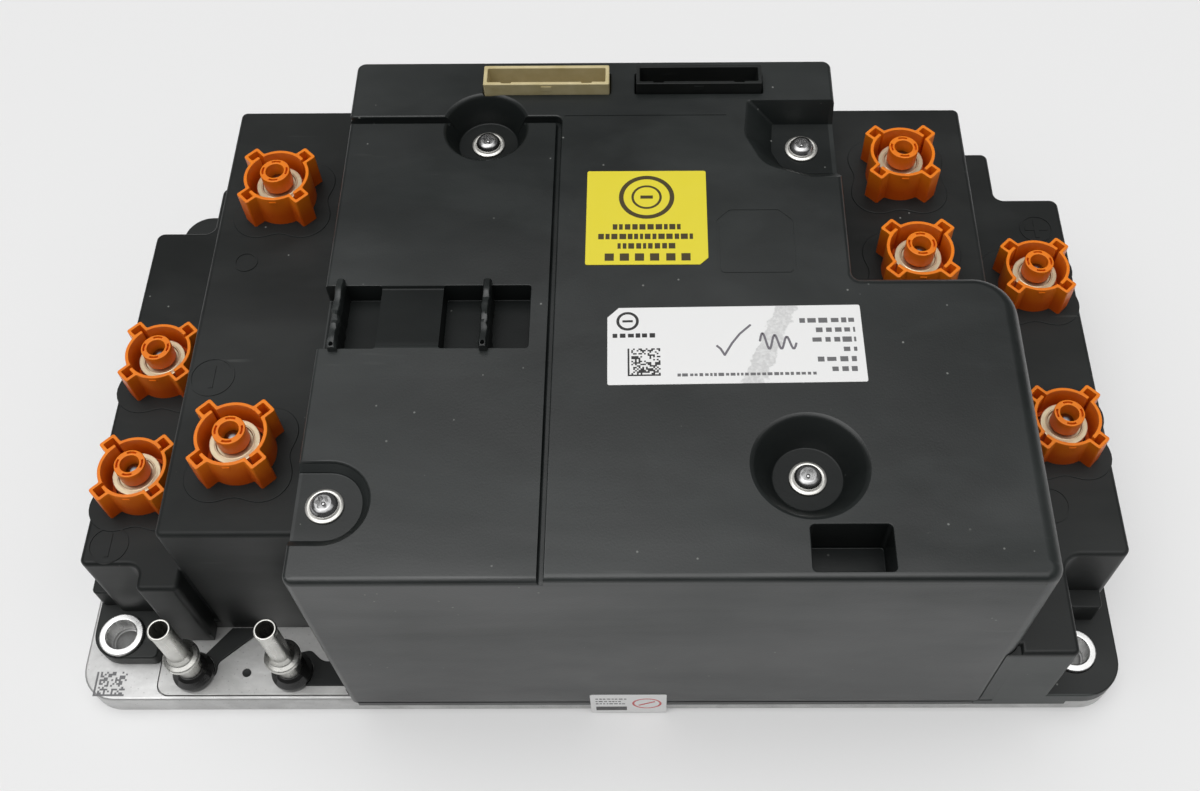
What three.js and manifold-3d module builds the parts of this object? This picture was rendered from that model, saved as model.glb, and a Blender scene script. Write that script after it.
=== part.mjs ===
// High-voltage battery junction and management box: a stepped black housing on a liquid-cooled
// aluminium plate, with eight touch-guarded bolt terminals, two signal headers and a screwed cover.
// Frame: millimetres, +Z up, +X right, the tall front wall faces -Y, origin under the middle of the box.
import * as THREE from "three";
import { mergeVertices } from "three/addons/utils/BufferGeometryUtils.js";
import Module from "manifold-3d";

const wasm = await Module();
wasm.setup();

// ---------------------------------------------------------------- driving dimensions

const GAP = 0.3; // air between neighbouring pieces
const WALL = 3; // moulded wall thickness

const WIDTH = 400;
const DEPTH = 233.5;
const PLATE = { thick: 11.7, corner: 14, setback: 1.5 };
const LID_TOP = PLATE.thick + GAP;
const LID_REACH = 170.5; // the lid's half length, clear of the bushings
const CHANNEL = { width: 10, floor: 4 };

const FLANGE = { low: LID_TOP + GAP, root: 14, high: 18.5, skirt: 30.5, right: 199 };
const OUTER_TOP = 62.5; // the two low outer blocks
const MIDDLE_TOP = 95.5; // the two middle blocks
const COVER_TOP = 127;
const LOW_PANEL = 125.3; // the cover's left-hand panel
const FRONT_LIP = 7.6; // how far down the front skirt hangs

const FRONT = -DEPTH / 2; // front skirt plane
const depth = (fromPlateFront) => FRONT + PLATE.setback + fromPlateFront;

const COVER = {
  left: -94.8,
  right: 149.5,
  shoulder: 92,
  shoulderY: depth(115),
  back: depth(220.5),
};
const MIDDLE_LEFT = { outer: -149.8, inner: -90, front: depth(29.3), back: depth(224.7) };
const MIDDLE_RIGHT = { outer: 149, inner: 89, front: depth(100), back: depth(224.5) };
const OUTER_LEFT = { side: -188.5, front: depth(33.6), back: depth(187) };
const OUTER_RIGHT = { side: 195.1, front: depth(36.3), back: depth(203) };

const POCKET_SKIN = 2.5; // wall under a pocket in the cover's top
const POCKET_FLOOR = 116.8;
const COVER_SCREWS = [
  { shape: "cone", x: -42.2, y: depth(187), floor: 115.5, rim: 16, base: 11.5 },
  { shape: "corner", x: 79, y: depth(183), floor: POCKET_FLOOR, rim: 22.4, base: 12 },
  { shape: "edge", x: -85, y: depth(26.8), floor: 121.9, rim: 15.7, base: 12.5 },
  { shape: "cone", x: 72.2, y: depth(39), floor: POCKET_FLOOR, rim: 18.8, base: 11.8 },
];
const SCREW = { shank: 2.5, length: 20, flange: 6.35, head: 4.6 };

const BUSHING = { outer: 8.5, bore: 5.6, high: 20.3 };
const BUSHINGS = [
  [-184.9, depth(23.4)],
  [182, depth(16)],
  [-182.5, depth(203)],
  [182.5, depth(217)],
];

const PIPE = { outer: 4, bore: 3.1, high: 57, bead: 6.85, beadAt: 29.5, boss: 7.85 };
const PIPES = { coolant_inlet_pipe: -156.5, coolant_outlet_pipe: -118.3 };
const PIPE_Y = depth(10.7);

const TERMINAL = { ring: 12.6, wall: 1.25, high: 15, tabReach: 16.7, tabHalf: 3.3 };
const CONTACT = { radius: 9.2, recess: 6.4, high: 9.6 };
const PAD = { arm: 8.7, lobe: 11, rise: 0.2 };
const SLEEVE = { outer: 5.7, bore: 3.5, high: 17.5 };
const TERMINALS = [
  { x: -125, y: depth(177), top: MIDDLE_TOP },
  { x: -124.2, y: depth(61), top: MIDDLE_TOP },
  { x: -170.3, y: depth(117), top: OUTER_TOP },
  { x: -170.3, y: depth(66), top: OUTER_TOP },
  { x: 119.8, y: depth(187.5), top: MIDDLE_TOP },
  { x: 121.6, y: depth(140), top: MIDDLE_TOP },
  { x: 176, y: depth(156.5), top: OUTER_TOP },
  { x: 176.3, y: depth(86), top: OUTER_TOP },
];

const BAR = { thick: 2, half: 8 };
const BATTERY_LEVEL = 88; // underside of the bars from the battery terminals
const LOAD_LEVEL = 83.5; // underside of the bar that crosses below them
const OUTER_LEVEL = 55.5; // underside of the bars to the outer blocks

const CARRIER = { low: LID_TOP + 0.6, high: 15.6, post: 4 };
const CONTACTOR = { half: [30, 25], low: 16, high: 82, studs: 17, studBore: 4.5, travel: 2 };
const CONTACTORS = { a: [-45, depth(85)], b: [45, depth(85)] };
const BRIDGE_TOP = 66;
const ARMATURE = { radius: 8, low: 26, high: 38, bore: 9 };
const SPRING = { radius: 6.2, wire: 0.6, turns: 4, low: ARMATURE.high + GAP, high: 50 - GAP };
const PYRO = { x: 100, y: depth(40), half: [18, 16], low: 16, high: 62, bore: 6.3 };
const PISTON = { radius: 6, low: 40, high: 54 };
const BOARD = { low: 100, high: 101.6 };
const HEADER = { width: 48.7, depth: 10.2, front: depth(203.3), high: 131.9, wall: 1.5, floor: 112 };
const HEADERS = { header_socket_cream: -19.4, header_socket_black: 39.7 };

const FINE = 20; // sides of a large round
const COARSE = 14; // sides of a small one
const SMALL = 10; // sides of a bore or a post

// ---------------------------------------------------------------- solids from three.js geometry

function solid(geometry) {
  const bare = geometry.clone();
  bare.deleteAttribute("normal");
  bare.deleteAttribute("uv");
  const merged = mergeVertices(bare, 1e-4);
  const index = merged.index.array;
  const kept = [];
  for (let i = 0; i < index.length; i += 3) {
    const [a, b, c] = index.slice(i, i + 3);
    if (a !== b && b !== c && c !== a) kept.push(a, b, c);
  }
  const vertProperties = merged.attributes.position.array;
  return new wasm.Manifold(new wasm.Mesh({ numProp: 3, vertProperties, triVerts: new Uint32Array(kept) }));
}

const join = (first, ...others) => others.reduce((whole, part) => whole.add(part), first);
const cut = (first, ...tools) => tools.reduce((whole, tool) => whole.subtract(tool), first);

function geometryOf(body) {
  const { vertProperties, triVerts } = body.getMesh();
  const geometry = new THREE.BufferGeometry();
  geometry.setAttribute("position", new THREE.BufferAttribute(vertProperties, 3));
  geometry.setIndex(new THREE.BufferAttribute(triVerts, 1));
  geometry.computeVertexNormals();
  return geometry;
}

function box(x0, x1, y0, y1, z0, z1) {
  const block = new THREE.BoxGeometry(x1 - x0, y1 - y0, z1 - z0);
  return solid(block.translate((x0 + x1) / 2, (y0 + y1) / 2, (z0 + z1) / 2));
}

// A round bar, or a cone where the two radii differ, standing on z0.
function round(x, y, z0, z1, low, high = low, sides = COARSE) {
  const bar = new THREE.CylinderGeometry(high, low, z1 - z0, sides).rotateX(Math.PI / 2);
  return solid(bar.translate(x, y, (z0 + z1) / 2));
}

// A turned body about the vertical through the origin; the profile is [radius, height] pairs that
// start and end on the axis or close on themselves.
function turned(profile, sides = COARSE) {
  const points = profile.map(([radius, height]) => new THREE.Vector2(radius, height));
  return solid(new THREE.LatheGeometry(points, sides).rotateX(Math.PI / 2));
}

// Corners are [x, y] or [x, y, radius], listed anticlockwise; a radius rounds the corner either way.
function rounded(corners) {
  const shape = new THREE.Shape();
  const count = corners.length;
  corners.forEach(([x, y, radius = 0], i) => {
    const here = new THREE.Vector2(x, y);
    const back = new THREE.Vector2(...corners[(i + count - 1) % count].slice(0, 2)).sub(here).normalize();
    const ahead = new THREE.Vector2(...corners[(i + 1) % count].slice(0, 2)).sub(here).normalize();
    const half = back.angleTo(ahead) / 2;
    const reach = radius / Math.tan(half);
    const start = here.clone().addScaledVector(back, reach);
    const end = here.clone().addScaledVector(ahead, reach);
    if (i === 0) shape.moveTo(start.x, start.y);
    else shape.lineTo(start.x, start.y);
    if (!radius) return;
    const middle = here.clone().addScaledVector(back.clone().add(ahead).normalize(), radius / Math.sin(half));
    const left = back.cross(ahead) < 0;
    const from = Math.atan2(start.y - middle.y, start.x - middle.x);
    const to = Math.atan2(end.y - middle.y, end.x - middle.x);
    shape.absarc(middle.x, middle.y, radius, from, to, !left);
  });
  return shape;
}

function prism(corners, z0, z1, curveSegments = 3) {
  const shape = rounded(corners);
  const options = { depth: z1 - z0, bevelEnabled: false, curveSegments };
  return solid(new THREE.ExtrudeGeometry(shape, options).translate(0, 0, z0));
}

// A pocket cutter: the floor outline at z0, spreading outwards by flare up to z1, then straight up.
function flared(corners, z0, z1, flare) {
  const options = {
    depth: 10,
    bevelEnabled: true,
    bevelSegments: 1,
    bevelThickness: z1 - z0,
    bevelSize: flare,
    curveSegments: 4,
  };
  return solid(new THREE.ExtrudeGeometry(rounded(corners), options).translate(0, 0, z1));
}

const rectangle = (x0, x1, y0, y1, radius = 0) => [
  [x0, y0, radius],
  [x1, y0, radius],
  [x1, y1, radius],
  [x0, y1, radius],
];

// A flat bar of constant width along a path of straight legs in plan.
function strip(path, z0, half = BAR.half, thick = BAR.thick) {
  const legs = path.slice(1).map(([x1, y1], i) => {
    const [x0, y0] = path[i];
    const [left, right] = [Math.min(x0, x1), Math.max(x0, x1)];
    const [near, far] = [Math.min(y0, y1), Math.max(y0, y1)];
    return box(left - half, right + half, near - half, far + half, z0, z0 + thick);
  });
  return join(...legs);
}

// ---------------------------------------------------------------- the assembly and its finishes

const unit = new THREE.Group();

const finish = (color, roughness, metalness = 0) => ({ color, roughness, metalness });
const BLACK_PLASTIC = finish(0x2a2c2c, 0.55);
const CREAM_PLASTIC = finish(0xcfc49a, 0.5);
const ORANGE_PLASTIC = finish(0xe65c0a, 0.45);
const ALUMINIUM = finish(0xb9bbbc, 0.4, 0.9);
const STEEL = finish(0xc4c6c8, 0.25, 1);
const PLATED = finish(0xbfae8c, 0.4, 0.8);
const COPPER = finish(0xb87345, 0.35, 1);
const GREEN_BOARD = finish(0x1f5c38, 0.6);
const GREY_PLASTIC = finish(0x6d7073, 0.6);
const RUBBER = finish(0x1a1a1b, 0.9);
const YELLOW_LABEL = finish(0xe6d92f, 0.5);
const WHITE_LABEL = finish(0xececea, 0.5);

function add(name, body, look, x = 0, y = 0, z = 0) {
  const mesh = new THREE.Mesh(geometryOf(body), new THREE.MeshStandardMaterial(look));
  mesh.name = name;
  mesh.position.set(x, y, z);
  unit.add(mesh);
}

// ---------------------------------------------------------------- cooling plate and pipes

const lidOutline = (inset) =>
  rectangle(-LID_REACH + inset, LID_REACH - inset, depth(1.5) + inset, depth(228) - inset, 5);

function coolingPlate() {
  const [inlet, outlet] = Object.values(PIPES);
  const slab = prism(
    rectangle(-WIDTH / 2, WIDTH / 2, depth(0), depth(232), PLATE.corner),
    0,
    PLATE.thick,
  );
  const bed = prism(lidOutline(0), PLATE.thick - 2.1, PLATE.thick + 1);
  const rear = depth(205);
  const near = depth(30);
  const far = 150;
  const loop = [
    [inlet, PIPE_Y],
    [inlet, rear],
    [far, rear],
    [far, near],
    [outlet, near],
    [outlet, PIPE_Y],
  ];
  const channel = strip(loop, CHANNEL.floor, CHANNEL.width / 2, PLATE.thick - CHANNEL.floor - 1);
  const holes = BUSHINGS.map(([x, y]) => round(x, y, -1, PLATE.thick + 1, 4.5));
  return cut(slab, bed, channel, ...holes);
}

function coolingPlateLid() {
  const sheet = prism(lidOutline(GAP), PLATE.thick - 1.8, LID_TOP);
  const holes = Object.values(PIPES).map((x) => round(x, PIPE_Y, 0, LID_TOP + 1, PIPE.bore));
  return cut(sheet, ...holes);
}

function coolantPipe() {
  const foot = FLANGE.low;
  return turned(
    [
      [PIPE.bore, foot],
      [PIPE.boss, foot],
      [PIPE.boss, foot + 1.5],
      [5.2, foot + 4.5],
      [4.6, PIPE.beadAt - 2.6],
      [PIPE.bead, PIPE.beadAt - 1.2],
      [PIPE.bead, PIPE.beadAt + 1.2],
      [PIPE.outer, PIPE.beadAt + 2.6],
      [PIPE.outer, PIPE.high],
      [PIPE.bore, PIPE.high],
      [PIPE.bore, foot],
    ],
    COARSE,
  );
}

add("cooling_plate", coolingPlate(), ALUMINIUM);
add("cooling_plate_lid", coolingPlateLid(), ALUMINIUM);
for (const [name, x] of Object.entries(PIPES)) add(name, coolantPipe(), STEEL, x, PIPE_Y);

// ---------------------------------------------------------------- housing

const flangeOutline = [
  [-196, depth(14.4), 11],
  [-170, depth(14.4), 2],
  [-170, depth(29.3)],
  [-165.7, depth(29.3)],
  [-165.7, depth(24)],
  [-150.8, depth(24)],
  [-150.8, depth(29.3)],
  [COVER.left - 1, depth(29.3)],
  [COVER.left - 1, depth(1.8)],
  [COVER.right + GAP, depth(1.8)],
  [COVER.right + GAP, FRONT],
  [FLANGE.right, FRONT, 15],
  [FLANGE.right, depth(231), 12],
  [-196, depth(231), 12],
];

// The bushing corners behind the outer blocks stay low, so a narrow step runs back beside each one.
const outerLeftOutline = [
  [OUTER_LEFT.side, OUTER_LEFT.front, 3],
  [-166, OUTER_LEFT.front, 3.5],
  [-166, depth(23.7), 1.5],
  [-150.5, depth(23.7), 1.5],
  [-150.5, depth(31)],
  [-140, depth(31)],
  [-140, depth(212)],
  [-164.5, depth(212), 3],
  [-164.5, OUTER_LEFT.back, 3],
  [OUTER_LEFT.side, OUTER_LEFT.back, 3],
];
const outerRightOutline = [
  [144, depth(1.8)],
  [COVER.right + GAP, depth(1.8)],
  [COVER.right + GAP, FRONT],
  [170.5, FRONT, 1.5],
  [170.5, OUTER_RIGHT.front, 6],
  [OUTER_RIGHT.side, OUTER_RIGHT.front, 3],
  [OUTER_RIGHT.side, OUTER_RIGHT.back, 3],
  [168.5, OUTER_RIGHT.back, 4],
  [168.5, depth(229), 3],
  [144, depth(229)],
];

// A low swelling around a terminal's foot: four lobes, one under each corner channel.
function terminalPad({ x, y, top }) {
  const { arm, lobe, rise } = PAD;
  const spread = Math.acos(arm / lobe) - Math.PI / 2;
  const shape = new THREE.Shape();
  for (let quarter = 0; quarter < 4; quarter += 1) {
    const turn = (quarter * Math.PI) / 2;
    const diagonal = turn + Math.PI / 4;
    const [cx, cy] = [Math.cos(diagonal), Math.sin(diagonal)].map((c) => c * arm * Math.SQRT2);
    shape.absarc(cx, cy, lobe, turn + spread, turn + Math.PI / 2 - spread, false);
  }
  const options = { depth: 4, bevelEnabled: false, curveSegments: 3 };
  return solid(new THREE.ExtrudeGeometry(shape, options).translate(x, y, top + rise - 4));
}

// The rooms inside the blocks, all open downwards and into each other, as [x0, x1, y0, y1] spans.
function hollowFloors(grow) {
  const outerLeft = OUTER_LEFT.front + WALL;
  const spans = [
    [OUTER_LEFT.side + WALL, -145, outerLeft, OUTER_LEFT.back - WALL],
    [-161.5, -145, outerLeft, depth(209)],
    [MIDDLE_LEFT.outer + WALL, -60, MIDDLE_LEFT.front + WALL, MIDDLE_LEFT.back - WALL],
    [60, MIDDLE_RIGHT.outer - WALL, depth(80), MIDDLE_RIGHT.back - WALL],
    [140, OUTER_RIGHT.side - WALL, OUTER_RIGHT.front + WALL, OUTER_RIGHT.back - WALL],
    [COVER.left + 6.1, 86, depth(7.6), depth(214.5)],
    [80, 140.5, depth(7.6), depth(96)],
    [COVER.left + 5.3, -80, depth(20), depth(34)],
  ];
  return spans.map(([x0, x1, y0, y1]) => [x0 - grow, x1 + grow, y0 - grow, y1 + grow]);
}
const OUTER_CEILING = OUTER_TOP - WALL;
const MIDDLE_CEILING = MIDDLE_TOP - WALL;
const ABOVE = 200; // clear of everything
const HOLLOW_TOPS = [
  OUTER_CEILING,
  OUTER_CEILING,
  MIDDLE_CEILING,
  MIDDLE_CEILING,
  OUTER_CEILING,
  ABOVE,
  ABOVE,
  ABOVE,
];

function baseHousing() {
  const { low, root, high, skirt } = FLANGE;
  const shell = join(
    prism(flangeOutline, low, high),
    prism(rectangle(-195.6, -180, depth(36.2), depth(190), 2), root, skirt),
    prism(rectangle(180, 192.6, depth(29), depth(205), 2), root, skirt),
    prism(outerLeftOutline, root, OUTER_TOP),
    prism(outerRightOutline, root, OUTER_TOP),
    prism(
      rectangle(MIDDLE_LEFT.outer, MIDDLE_LEFT.inner, MIDDLE_LEFT.front, MIDDLE_LEFT.back, 2.5),
      root,
      MIDDLE_TOP,
    ),
    prism(
      rectangle(MIDDLE_RIGHT.inner, MIDDLE_RIGHT.outer, MIDDLE_RIGHT.front, MIDDLE_RIGHT.back, 2.5),
      root,
      MIDDLE_TOP,
    ),
    box(COVER.left + 3.6, 143, depth(5.1), depth(217), root, skirt - 1),
    box(150, 178, FRONT, FRONT + 1.2, FRONT_LIP, low + 1),
    ...TERMINALS.map(terminalPad),
  );
  const hollow = hollowFloors(0).map((span, i) => box(...span, low - 1, HOLLOW_TOPS[i]));
  const openings = TERMINALS.map(({ x, y, top }) => round(x, y, top - 6, top + 1, 9.7));
  const bores = BUSHINGS.map(([x, y]) => round(x, y, 0, 30, BUSHING.outer + GAP, BUSHING.outer + GAP, FINE));
  return cut(shell, ...hollow, ...openings, ...bores);
}

// A flat seal under the flange that runs round all the rooms.
function housingSeal() {
  const slab = (grow, z0, z1) => join(...hollowFloors(grow).map((span) => box(...span, z0, z1)));
  return cut(slab(2.4, LID_TOP + 0.05, FLANGE.low - 0.05), slab(0.6, 0, 20));
}

function mountingBushing() {
  const { outer, bore, high } = BUSHING;
  const foot = FLANGE.low;
  return turned(
    [
      [bore, foot],
      [outer, foot],
      [outer, high - 0.5],
      [outer - 0.5, high],
      [bore, high],
      [bore, foot],
    ],
    FINE,
  );
}

add("base_housing", baseHousing(), BLACK_PLASTIC);
BUSHINGS.forEach(([x, y], i) => add(`mounting_bushing_${i + 1}`, mountingBushing(), STEEL, x, y));

// ---------------------------------------------------------------- cover

const coverOutline = (inset) => [
  [COVER.left + inset, FRONT + inset, 2],
  [COVER.right - inset, FRONT + inset, 4 - inset / 2],
  [COVER.right - inset, COVER.shoulderY - inset, 15 - inset],
  [COVER.shoulder - inset, COVER.shoulderY - inset, 2],
  [COVER.shoulder - inset, COVER.back - inset, 3],
  [COVER.left + inset, COVER.back - inset, 3],
];

const cornerPocketFloor = ({ x, y, base }) => [
  [x + 30, y - base],
  [x + 30, y + 12.6],
  [x - base + 1, y + 12.6],
  [x - base, y, 2],
  [x - base + 4, y - base + 4, 4],
  [x, y - base, 4],
].reverse();
const edgePocketFloor = ({ x, y, base }) => [
  [x - 30, y - base],
  [x + base, y - base, base * 0.98],
  [x + base, y + base, base * 0.98],
  [x - 30, y + base],
];

// The opening above a cover screw: a cone, a rounded corner room, or a room open to the left edge.
const SCREW_POCKETS = {
  cone({ x, y, floor, rim, base }) {
    const slope = (rim - base) / (COVER_TOP - floor);
    return round(x, y, floor, COVER_TOP + 2, base, rim + 2 * slope, FINE);
  },
  corner(screw) {
    const room = flared(cornerPocketFloor(screw), screw.floor, COVER_TOP + 1, screw.rim - screw.base);
    return cut(room, box(40, 130, depth(199), depth(240), 100, ABOVE));
  },
  edge(screw) {
    return flared(edgePocketFloor(screw), screw.floor, LOW_PANEL + 1, screw.rim - screw.base);
  },
};

const FIN_POCKETS = [
  { x0: -96, x1: -74.7, fin: -89 },
  { x0: -52.5, x1: -21.9, fin: -37 },
];
const FIN_Y = [depth(86.3), depth(112.4)];
const FIN_FLOOR = 116.5;
const NOTCH_FLOOR = 110; // the square pocket at the front edge

function mainCover() {
  const inside = COVER_TOP - WALL;
  const cap = join(
    prism(coverOutline(0), FLANGE.low, COVER_TOP),
    box(COVER.left + 3, COVER.right - 5, FRONT, FRONT + 1.2, FRONT_LIP, FLANGE.low + 1),
  );
  const shell = cut(cap, prism(coverOutline(WALL), 0, inside));
  const [near, far] = FIN_Y;
  const [cone, corner, edge, frontCone] = COVER_SCREWS;
  const top = inside + 1;
  const backing = [
    box(COVER.left + 1, -11, FRONT + 1, depth(194), LOW_PANEL - WALL, top),
    round(cone.x, cone.y, cone.floor - POCKET_SKIN, top, 14, 18.5, FINE),
    box(64, 90, depth(163), depth(199), corner.floor - POCKET_SKIN, top),
    box(COVER.left + 1, -66, depth(8), depth(44), edge.floor - POCKET_SKIN, top),
    round(frontCone.x, frontCone.y, frontCone.floor - POCKET_SKIN, top, 14.5, 21.5, FINE),
    box(68.4, 98.9, FRONT + 1, depth(19.9), NOTCH_FLOOR - POCKET_SKIN, top),
    ...FIN_POCKETS.map(({ x0, x1 }) =>
      box(Math.max(x0 - 2.5, COVER.left + 1), x1 + 2.5, near - 2.5, far + 2.5, FIN_FLOOR - POCKET_SKIN, top),
    ),
  ];
  const lowPanel = [
    box(COVER.left - 1, -14, FRONT - 1, depth(191.5), LOW_PANEL, ABOVE),
    box(-15.2, -13.2, FRONT - 1, depth(192.5), LOW_PANEL - 1.8, ABOVE),
    box(COVER.left - 1, -16.5, near, far, LOW_PANEL - 0.6, ABOVE),
  ];
  const pockets = [
    ...COVER_SCREWS.map((screw) => SCREW_POCKETS[screw.shape](screw)),
    prism(rectangle(70.9, 96.4, depth(1.7), depth(17.4), 1.2), NOTCH_FLOOR, ABOVE),
    ...FIN_POCKETS.map(({ x0, x1 }) => box(x0, x1, near, far, FIN_FLOOR, ABOVE)),
  ];
  const headerSlots = Object.values(HEADERS).map((x) =>
    box(
      x - HEADER.width / 2 - 0.4,
      x + HEADER.width / 2 + 0.4,
      HEADER.front - 0.4,
      HEADER.front + HEADER.depth + 0.4,
      100,
      COVER_TOP + 1,
    ),
  );
  const screwHoles = COVER_SCREWS.map(({ x, y }) => round(x, y, 100, 130, SCREW.shank + 0.5));
  const seat = FLANGE.high + GAP;
  const [back, onMiddle] = [COVER.back + 5, MIDDLE_TOP + GAP];
  const ledges = [
    box(COVER.left - 5, COVER.right + 5, depth(1.65), back, 0, seat),
    box(COVER.left - 5, MIDDLE_LEFT.inner + GAP, MIDDLE_LEFT.front - GAP, back, 0, onMiddle),
    box(MIDDLE_RIGHT.inner - GAP, COVER.right + 5, MIDDLE_RIGHT.front - GAP, back, 0, onMiddle),
    box(130, COVER.right + 5, depth(1.65), MIDDLE_RIGHT.front, 0, OUTER_TOP + GAP),
  ];
  const cuts = [...pockets, ...lowPanel, ...headerSlots, ...screwHoles, ...ledges];
  const body = cut(join(shell, ...backing), ...cuts);
  const fins = FIN_POCKETS.map(({ fin }) =>
    box(fin - 1.3, fin + 1.3, near - 1.8, far + 1.3, FIN_FLOOR - 1, LOW_PANEL + 4),
  );
  return join(body, ...fins);
}

// A flanged button-head screw with a six-lobe drive socket; its seat is at z = 0.
function coverScrew() {
  const { shank, length, flange, head } = SCREW;
  const blank = turned(
    [
      [0, -length],
      [shank, -length],
      [shank, 0.1],
      [flange, 0.1],
      [flange, 1.2],
      [head, 1.4],
      [head - 0.5, 2.7],
      [head - 1.7, 3.6],
      [0, 3.8],
    ],
    COARSE,
  );
  const lobes = [0, 1, 2].map((i) => {
    const slot = new THREE.BoxGeometry(4.4, 1.5, 2.2).rotateZ((i * Math.PI) / 3);
    return solid(slot.translate(0, 0, 3));
  });
  return cut(blank, ...lobes);
}

add("main_cover", mainCover(), BLACK_PLASTIC);
COVER_SCREWS.forEach(({ x, y, floor }, i) => add(`cover_screw_${i + 1}`, coverScrew(), STEEL, x, y, floor));

// ---------------------------------------------------------------- terminals

// A finger guard: a cup wall with a square channel at each diagonal, open to the inside, on a ring floor.
function terminalGuard() {
  const { ring, wall, high, tabReach, tabHalf } = TERMINAL;
  const spokes = (half, from, to, z0, z1) =>
    [1, 3, 5, 7].map((eighth) => {
      const arm = new THREE.BoxGeometry(to - from, 2 * half, z1 - z0).translate((from + to) / 2, 0, 0);
      return solid(arm.rotateZ((eighth * Math.PI) / 4).translate(0, 0, (z0 + z1) / 2));
    });
  const body = join(round(0, 0, GAP, high, ring, ring, FINE), ...spokes(tabHalf, 4, tabReach, GAP, high));
  const floor = 1.5;
  const clear = round(0, 0, floor, high + 1, ring - wall, ring - wall, FINE);
  const channels = spokes(tabHalf - 1.2, 9, tabReach - 1.2, floor, high + 1);
  const hole = CONTACT.radius + 0.9;
  return cut(body, clear, ...channels, round(0, 0, 0, high, hole, hole, FINE));
}

function terminalSleeve() {
  const { outer, bore, high } = SLEEVE;
  const foot = CONTACT.high + 0.6;
  return turned(
    [
      [bore, foot],
      [outer, foot],
      [outer, high - 0.7],
      [outer - 0.7, high],
      [bore, high],
      [bore, foot],
    ],
    COARSE,
  );
}

// A plated pedestal on the busbar, recessed under the sleeve, with a threaded post up through it.
function terminalStud(foot) {
  const { radius, recess, high } = CONTACT;
  return turned(
    [
      [0, foot],
      [radius, foot],
      [radius, high],
      [recess, high],
      [recess, high - 0.8],
      [3, high - 0.8],
      [3, 12.4],
      [1.8, 13.6],
      [0, 13.8],
    ],
    COARSE,
  );
}

const studFoot = [
  BATTERY_LEVEL,
  BATTERY_LEVEL,
  OUTER_LEVEL,
  OUTER_LEVEL,
  BATTERY_LEVEL,
  LOAD_LEVEL,
  OUTER_LEVEL,
  OUTER_LEVEL,
].map((level, i) => level + BAR.thick + GAP - TERMINALS[i].top);

TERMINALS.forEach(({ x, y, top }, i) => {
  add(`terminal_guard_${i + 1}`, terminalGuard(), ORANGE_PLASTIC, x, y, top);
  add(`terminal_sleeve_${i + 1}`, terminalSleeve(), ORANGE_PLASTIC, x, y, top);
  add(`terminal_stud_${i + 1}`, terminalStud(studFoot[i]), PLATED, x, y, top);
});

// ---------------------------------------------------------------- power path inside

const [T1, T2, T3, T4, T5, T6, T7, T8] = TERMINALS;
const studOf = (centre, side) => [centre[0] + side * CONTACTOR.studs, centre[1]];
const contactStud = ([x, y], level) => round(x, y, BRIDGE_TOP + CONTACTOR.travel + GAP, level + 1, 4);
const riser = (x, y, half, z0, z1) => box(x - 1, x + 1, y - half, y + half, z0, z1);

function positiveBatteryBar() {
  const stud = studOf(CONTACTORS.a, -1);
  const path = [[T1.x, T1.y], [stud[0], T1.y], stud];
  return join(strip(path, BATTERY_LEVEL), contactStud(stud, BATTERY_LEVEL));
}

function positiveLoadBar() {
  const stud = studOf(CONTACTORS.a, 1);
  const fold = -135;
  const path = [stud, [stud[0], T2.y], [fold + BAR.half, T2.y]];
  return join(
    strip(path, BATTERY_LEVEL),
    contactStud(stud, BATTERY_LEVEL),
    riser(fold + 1, T2.y, BAR.half, OUTER_LEVEL, BATTERY_LEVEL + BAR.thick),
    strip([[fold - BAR.half, T4.y], [T4.x, T4.y], [T3.x, T3.y]], OUTER_LEVEL),
    box(fold - BAR.half, fold + 2, T2.y - BAR.half, T4.y + BAR.half, OUTER_LEVEL, OUTER_LEVEL + BAR.thick),
  );
}

function negativeBatteryBar() {
  const low = 29.5;
  return join(
    strip([[T5.x, T5.y], [PYRO.x, T5.y], [PYRO.x, depth(72)]], BATTERY_LEVEL),
    box(PYRO.x - 8, PYRO.x + 8, depth(64), depth(66), low, BATTERY_LEVEL + BAR.thick),
    box(PYRO.x - 8, PYRO.x + 8, depth(22), depth(66), low, low + BAR.thick),
  );
}

function currentShunt() {
  const stud = studOf(CONTACTORS.b, -1);
  const low = 29.5;
  const sense = box(PYRO.x - 35, PYRO.x - 20, depth(8), depth(20), BATTERY_LEVEL - 3, BATTERY_LEVEL + 5);
  return join(
    box(PYRO.x - 8, PYRO.x + 8, depth(12), depth(21.7), low, low + BAR.thick),
    box(PYRO.x - 8, PYRO.x + 8, depth(12), depth(14), low, BATTERY_LEVEL + BAR.thick),
    strip([[PYRO.x, depth(16)], [stud[0], depth(16)], stud], BATTERY_LEVEL),
    contactStud(stud, BATTERY_LEVEL),
    sense,
  );
}

function negativeLoadBar() {
  const stud = studOf(CONTACTORS.b, 1);
  const fold = 142;
  return join(
    strip([stud, [stud[0], T6.y], [fold - BAR.half, T6.y]], LOAD_LEVEL),
    contactStud(stud, LOAD_LEVEL),
    riser(fold - 1, T6.y, BAR.half, OUTER_LEVEL, LOAD_LEVEL + BAR.thick),
    box(fold - 2, T7.x, T6.y - BAR.half, T7.y + BAR.half, OUTER_LEVEL, OUTER_LEVEL + BAR.thick),
    strip([[T7.x, T7.y], [T8.x, T8.y]], OUTER_LEVEL),
  );
}

// A sealed relay can: a bore for the armature below and a chamber for the contact bridge above.
function contactorCase() {
  const [hx, hy] = CONTACTOR.half;
  const { low, high, studs, studBore } = CONTACTOR;
  const can = prism(rectangle(-hx, hx, -hy, hy, 4), low, high, 3);
  return cut(
    can,
    round(0, 0, low - 1, 50, ARMATURE.bore),
    round(0, 0, 49, 57, 3.5),
    box(-25, 25, -9, 9, 56, 76),
    round(-studs, 0, 75, high + 1, studBore),
    round(studs, 0, 75, high + 1, studBore),
  );
}

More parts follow.
